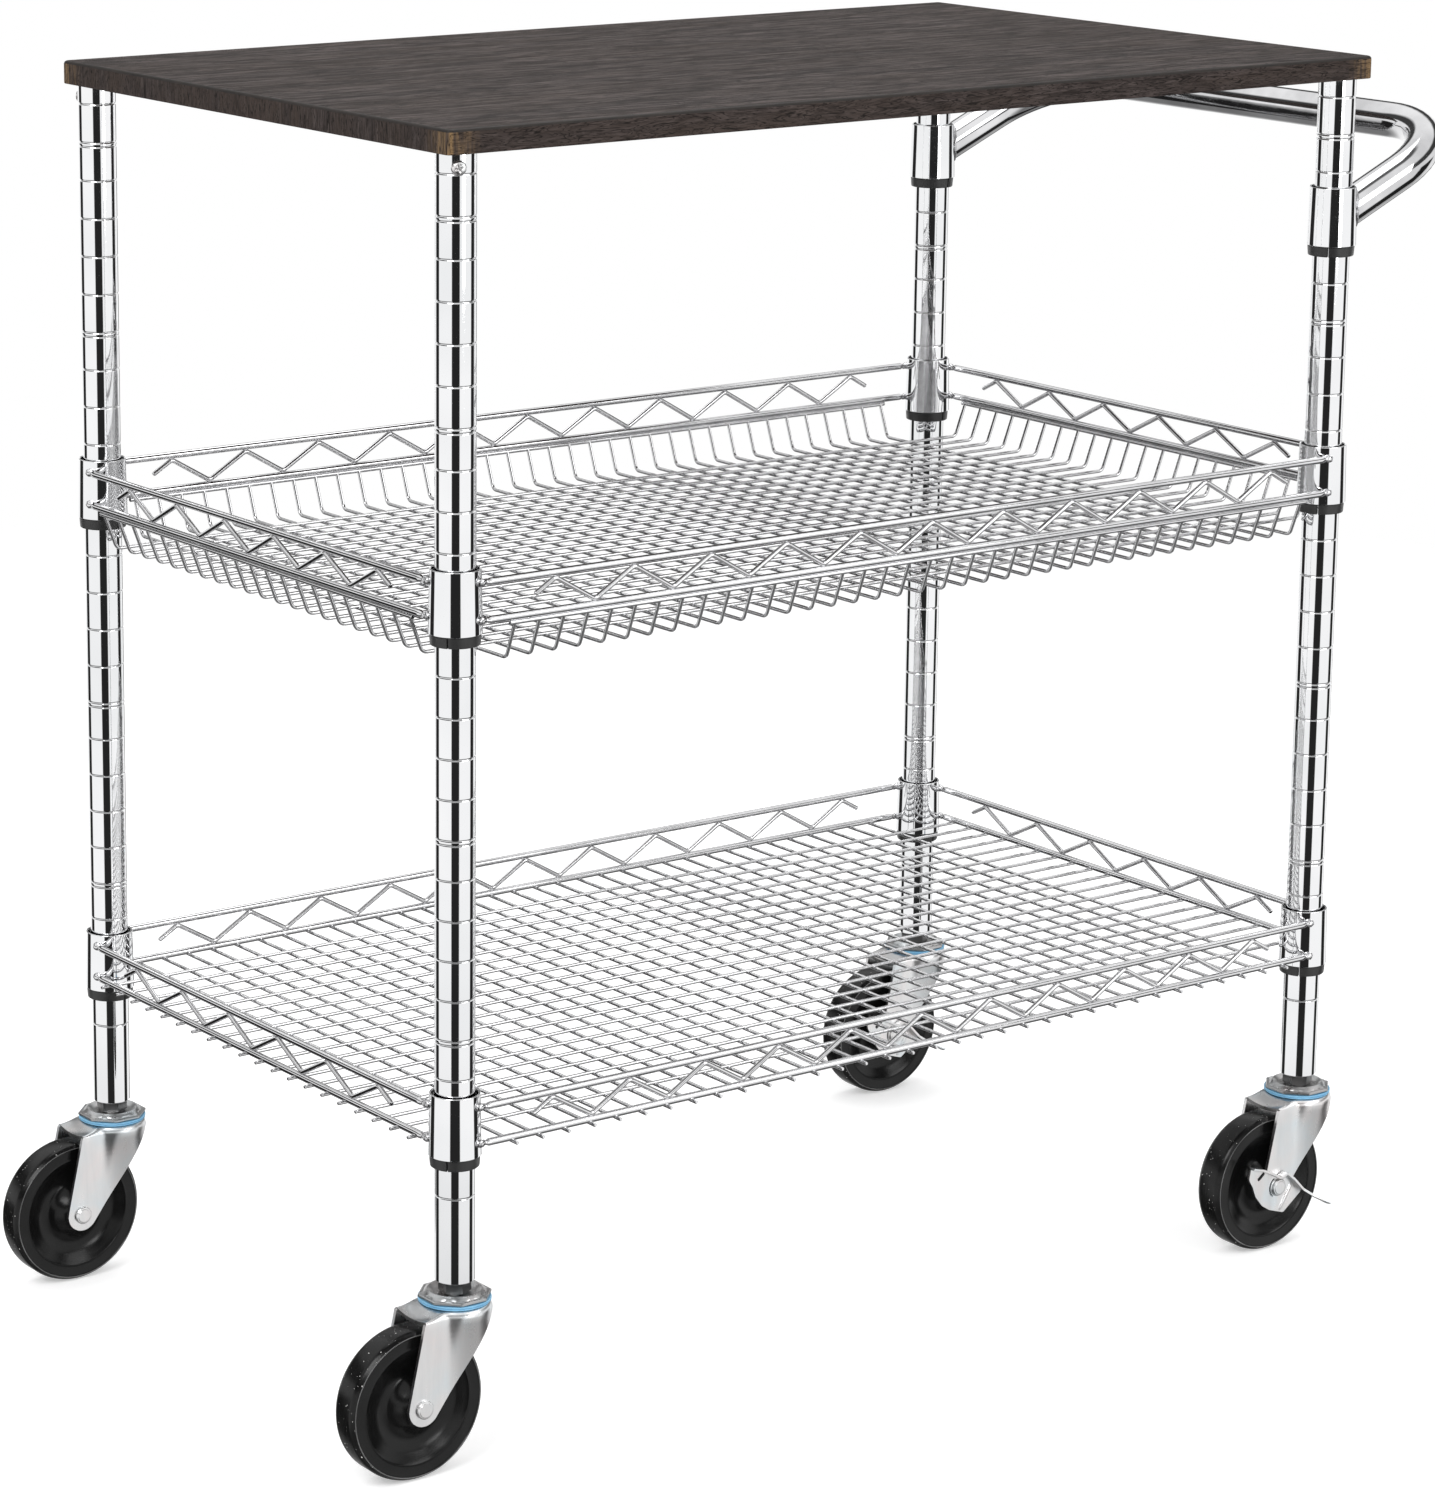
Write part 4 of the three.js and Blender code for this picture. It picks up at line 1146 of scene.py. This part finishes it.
for corner in CORNERS:
    x, y = POSTS[corner]
    post_place = move(x, y)
    hub_place = move(x - TRAIL, y, WHEEL_R)
    braked = corner in HANDLE_CORNERS
    near = FORK_LEG_Y + (BRAKE_SHEET + 0.8 if braked else 0.1)
    parts = [
        # The race takes the half-bright zinc of painted shade.
        ("race", race(), post_place, [ZINC_SHADED], "zinc_steel", 30),
        # The nut and stem take the darkest zinc, painted shade.
        ("stem", stem(), post_place, [NUT_SHADED], "zinc_steel", 30),
        ("seal", seal(), post_place, [BLUE], "blue_seal", 50),
        ("axle", axle(near, FORK_LEG_Y + 0.1), hub_place, [ZINC], "zinc_steel", 40),
        ("bushing", bushing(), hub_place, [GREY], "grey_plastic", 40),
        ("wheel", wheel(), hub_place, [WHEEL_FACE, WHEEL_TREAD, WHEEL_RIDGE_HIGHLIGHT], "wheel_black", 50),
    ]
    for label, made, place, finishes, slot, sharp in parts:
        node = f"caster_{label}_{corner}"
        body = next(b for b, nodes in frame["record"]["behaviour"]["bodies"].items() if node in nodes)
        piece(f"{label}_{corner}", made, place, finishes, node, slot, body, sharp)
    name, node = "fork_" + corner, "caster_fork_" + corner
    edges = {"sharp": 45, "bevel": 0.35, "solid": FORK_SHEET}
    # The crown's top takes the half-bright zinc of painted shade.
    piece(name, fork(), post_place, [ZINC, ZINC_SHADED], node, "zinc_steel", name, **edges)
    if braked:
        add_brake(corner, hub_place)

# ---- Stage: floor, light and camera, in metres ----
HEADING, PITCH, ROLL = -35.063, 12.255, 0.227
CAMERA_PLACE = (-1.9499, -2.5058, 1.1761)
LENS, SENSOR = 113.55, 36.0
SHIFT = (0.132, -0.120)
FLOOR_R, FLOOR_FADE, FLOOR_GLOW = 2.6, 1.2, 0.42


def floor():
    """A pale disc that fades out. The plating mirrors the studio's dark and bright bands in its place."""
    bpy.ops.mesh.primitive_circle_add(vertices=96, radius=FLOOR_R, fill_type="NGON")
    plane = bpy.context.object
    plane.name = "floor"
    g = new_material("floor")
    shade = g.ramp(g.noise(0.6, detail=2), [(0.3, 0.86), (0.7, 0.88)])
    white = (1, 1, 1, 1)
    away = g.node("ShaderNodeVectorMath", {0: g.place()}, operation="LENGTH").outputs["Value"]
    fade = g.math("DIVIDE", g.math("SUBTRACT", FLOOR_R, away), FLOOR_FADE, clamp=True)
    matt = g.surface(shade, 0.9, Emission_Color=white, Emission_Strength=FLOOR_GLOW, Alpha=fade)
    plane.data.materials.append(matt)
    plane.visible_glossy = False


# Studio surroundings as the plating mirrors them: dark gaps between bright soft boxes.
# Each gap is its middle and half width in degrees, measured from the direction of the camera.
GAPS = [(2, 20), (107, 12), (-115, 13), (158, 5)]
SOFT_EDGE = 3.0
# Brightness by height, from straight down at 0 over level at 0.5 to straight up at 1.
BY_HEIGHT = [
    (0.00, 0.30), (0.08, 0.25), (0.18, 0.20), (0.25, 0.50), (0.31, 0.85), (0.35, 1.0),
    (0.60, 1.0), (0.62, 0.04), (0.725, 0.04), (0.765, 1.0), (0.935, 1.0), (0.955, 0.12), (1.0, 0.12),
]
SIDE_GAPS_END = [(0.47, 0.0), (0.49, 1.0)]  # above this height no side gap is left
DARK, BRIGHT = 0.02, 1.05


def surroundings():
    world = bpy.data.worlds.new("studio")
    SCENE.world = world
    g = Graph(world)
    where = g.node("ShaderNodeTexCoord").outputs["Generated"]
    apart = g.node("ShaderNodeSeparateXYZ", {"Vector": where})
    heading = g.math("ARCTAN2", apart.outputs["Y"], apart.outputs["X"])
    light = None
    for middle, half in GAPS:
        centre = math.radians(HEADING - 90 + middle)
        away = g.math("SUBTRACT", heading, centre)
        away = g.math("ARCCOSINE", g.math("COSINE", away))
        away = g.math("SUBTRACT", away, math.radians(half))
        open_share = g.math("DIVIDE", away, math.radians(SOFT_EDGE), clamp=True)
        light = open_share if light is None else g.math("MULTIPLY", light, open_share)
    height = g.math("ADD", g.math("MULTIPLY", apart.outputs["Z"], 0.5), 0.5)
    light = g.math("MAXIMUM", light, g.ramp(height, SIDE_GAPS_END))
    light = g.math("MULTIPLY", light, g.ramp(height, BY_HEIGHT))
    light = g.math("ADD", g.math("MULTIPLY", light, BRIGHT - DARK), DARK)
    mirrored = g.node("ShaderNodeBackground", {"Color": (1, 1, 1, 1), "Strength": light})
    seen = g.node("ShaderNodeBackground", {"Color": (1, 1, 1, 1), "Strength": 1.0})
    ray = g.node("ShaderNodeLightPath").outputs["Is Camera Ray"]
    both = g.node("ShaderNodeMixShader", {0: ray, 1: mirrored.outputs[0], 2: seen.outputs[0]})
    g.node("ShaderNodeOutputWorld", {"Surface": both.outputs[0]})


def soft_box(name, place, target, size, power):
    data = bpy.data.lights.new(name, "AREA")
    data.shape = "RECTANGLE"
    data.size, data.size_y = size
    data.energy = power
    lamp = add_object(name, data)
    lamp.location = place
    way = Vector(target) - Vector(place)
    lamp.rotation_euler = way.to_track_quat("-Z", "Y").to_euler()


def camera():
    data = bpy.data.cameras.new("camera")
    data.lens, data.sensor_width = LENS, SENSOR
    data.shift_x, data.shift_y = SHIFT
    eye = add_object("camera", data)
    eye.matrix_world = move(*CAMERA_PLACE) @ turn(HEADING) @ turn(90 - PITCH, "X") @ turn(ROLL)
    SCENE.camera = eye


floor()
surroundings()
soft_box("key", (-2.6, -1.2, 2.8), (0, 0, 0.4), (1.6, 1.6), 45)
soft_box("fill", (1.6, -3.2, 2.0), (0, 0, 0.4), (1.8, 1.4), 30)
soft_box("top", (0.3, 0.6, 3.4), (0, 0, 0.5), (2.4, 2.0), 35)
soft_box("low", (0.15, -3.0, 0.55), (-0.3, -0.2, 0.1), (0.7, 0.5), 7)
camera()
SCENE.view_settings.view_transform = "Standard"
SCENE.cycles.use_denoising = True
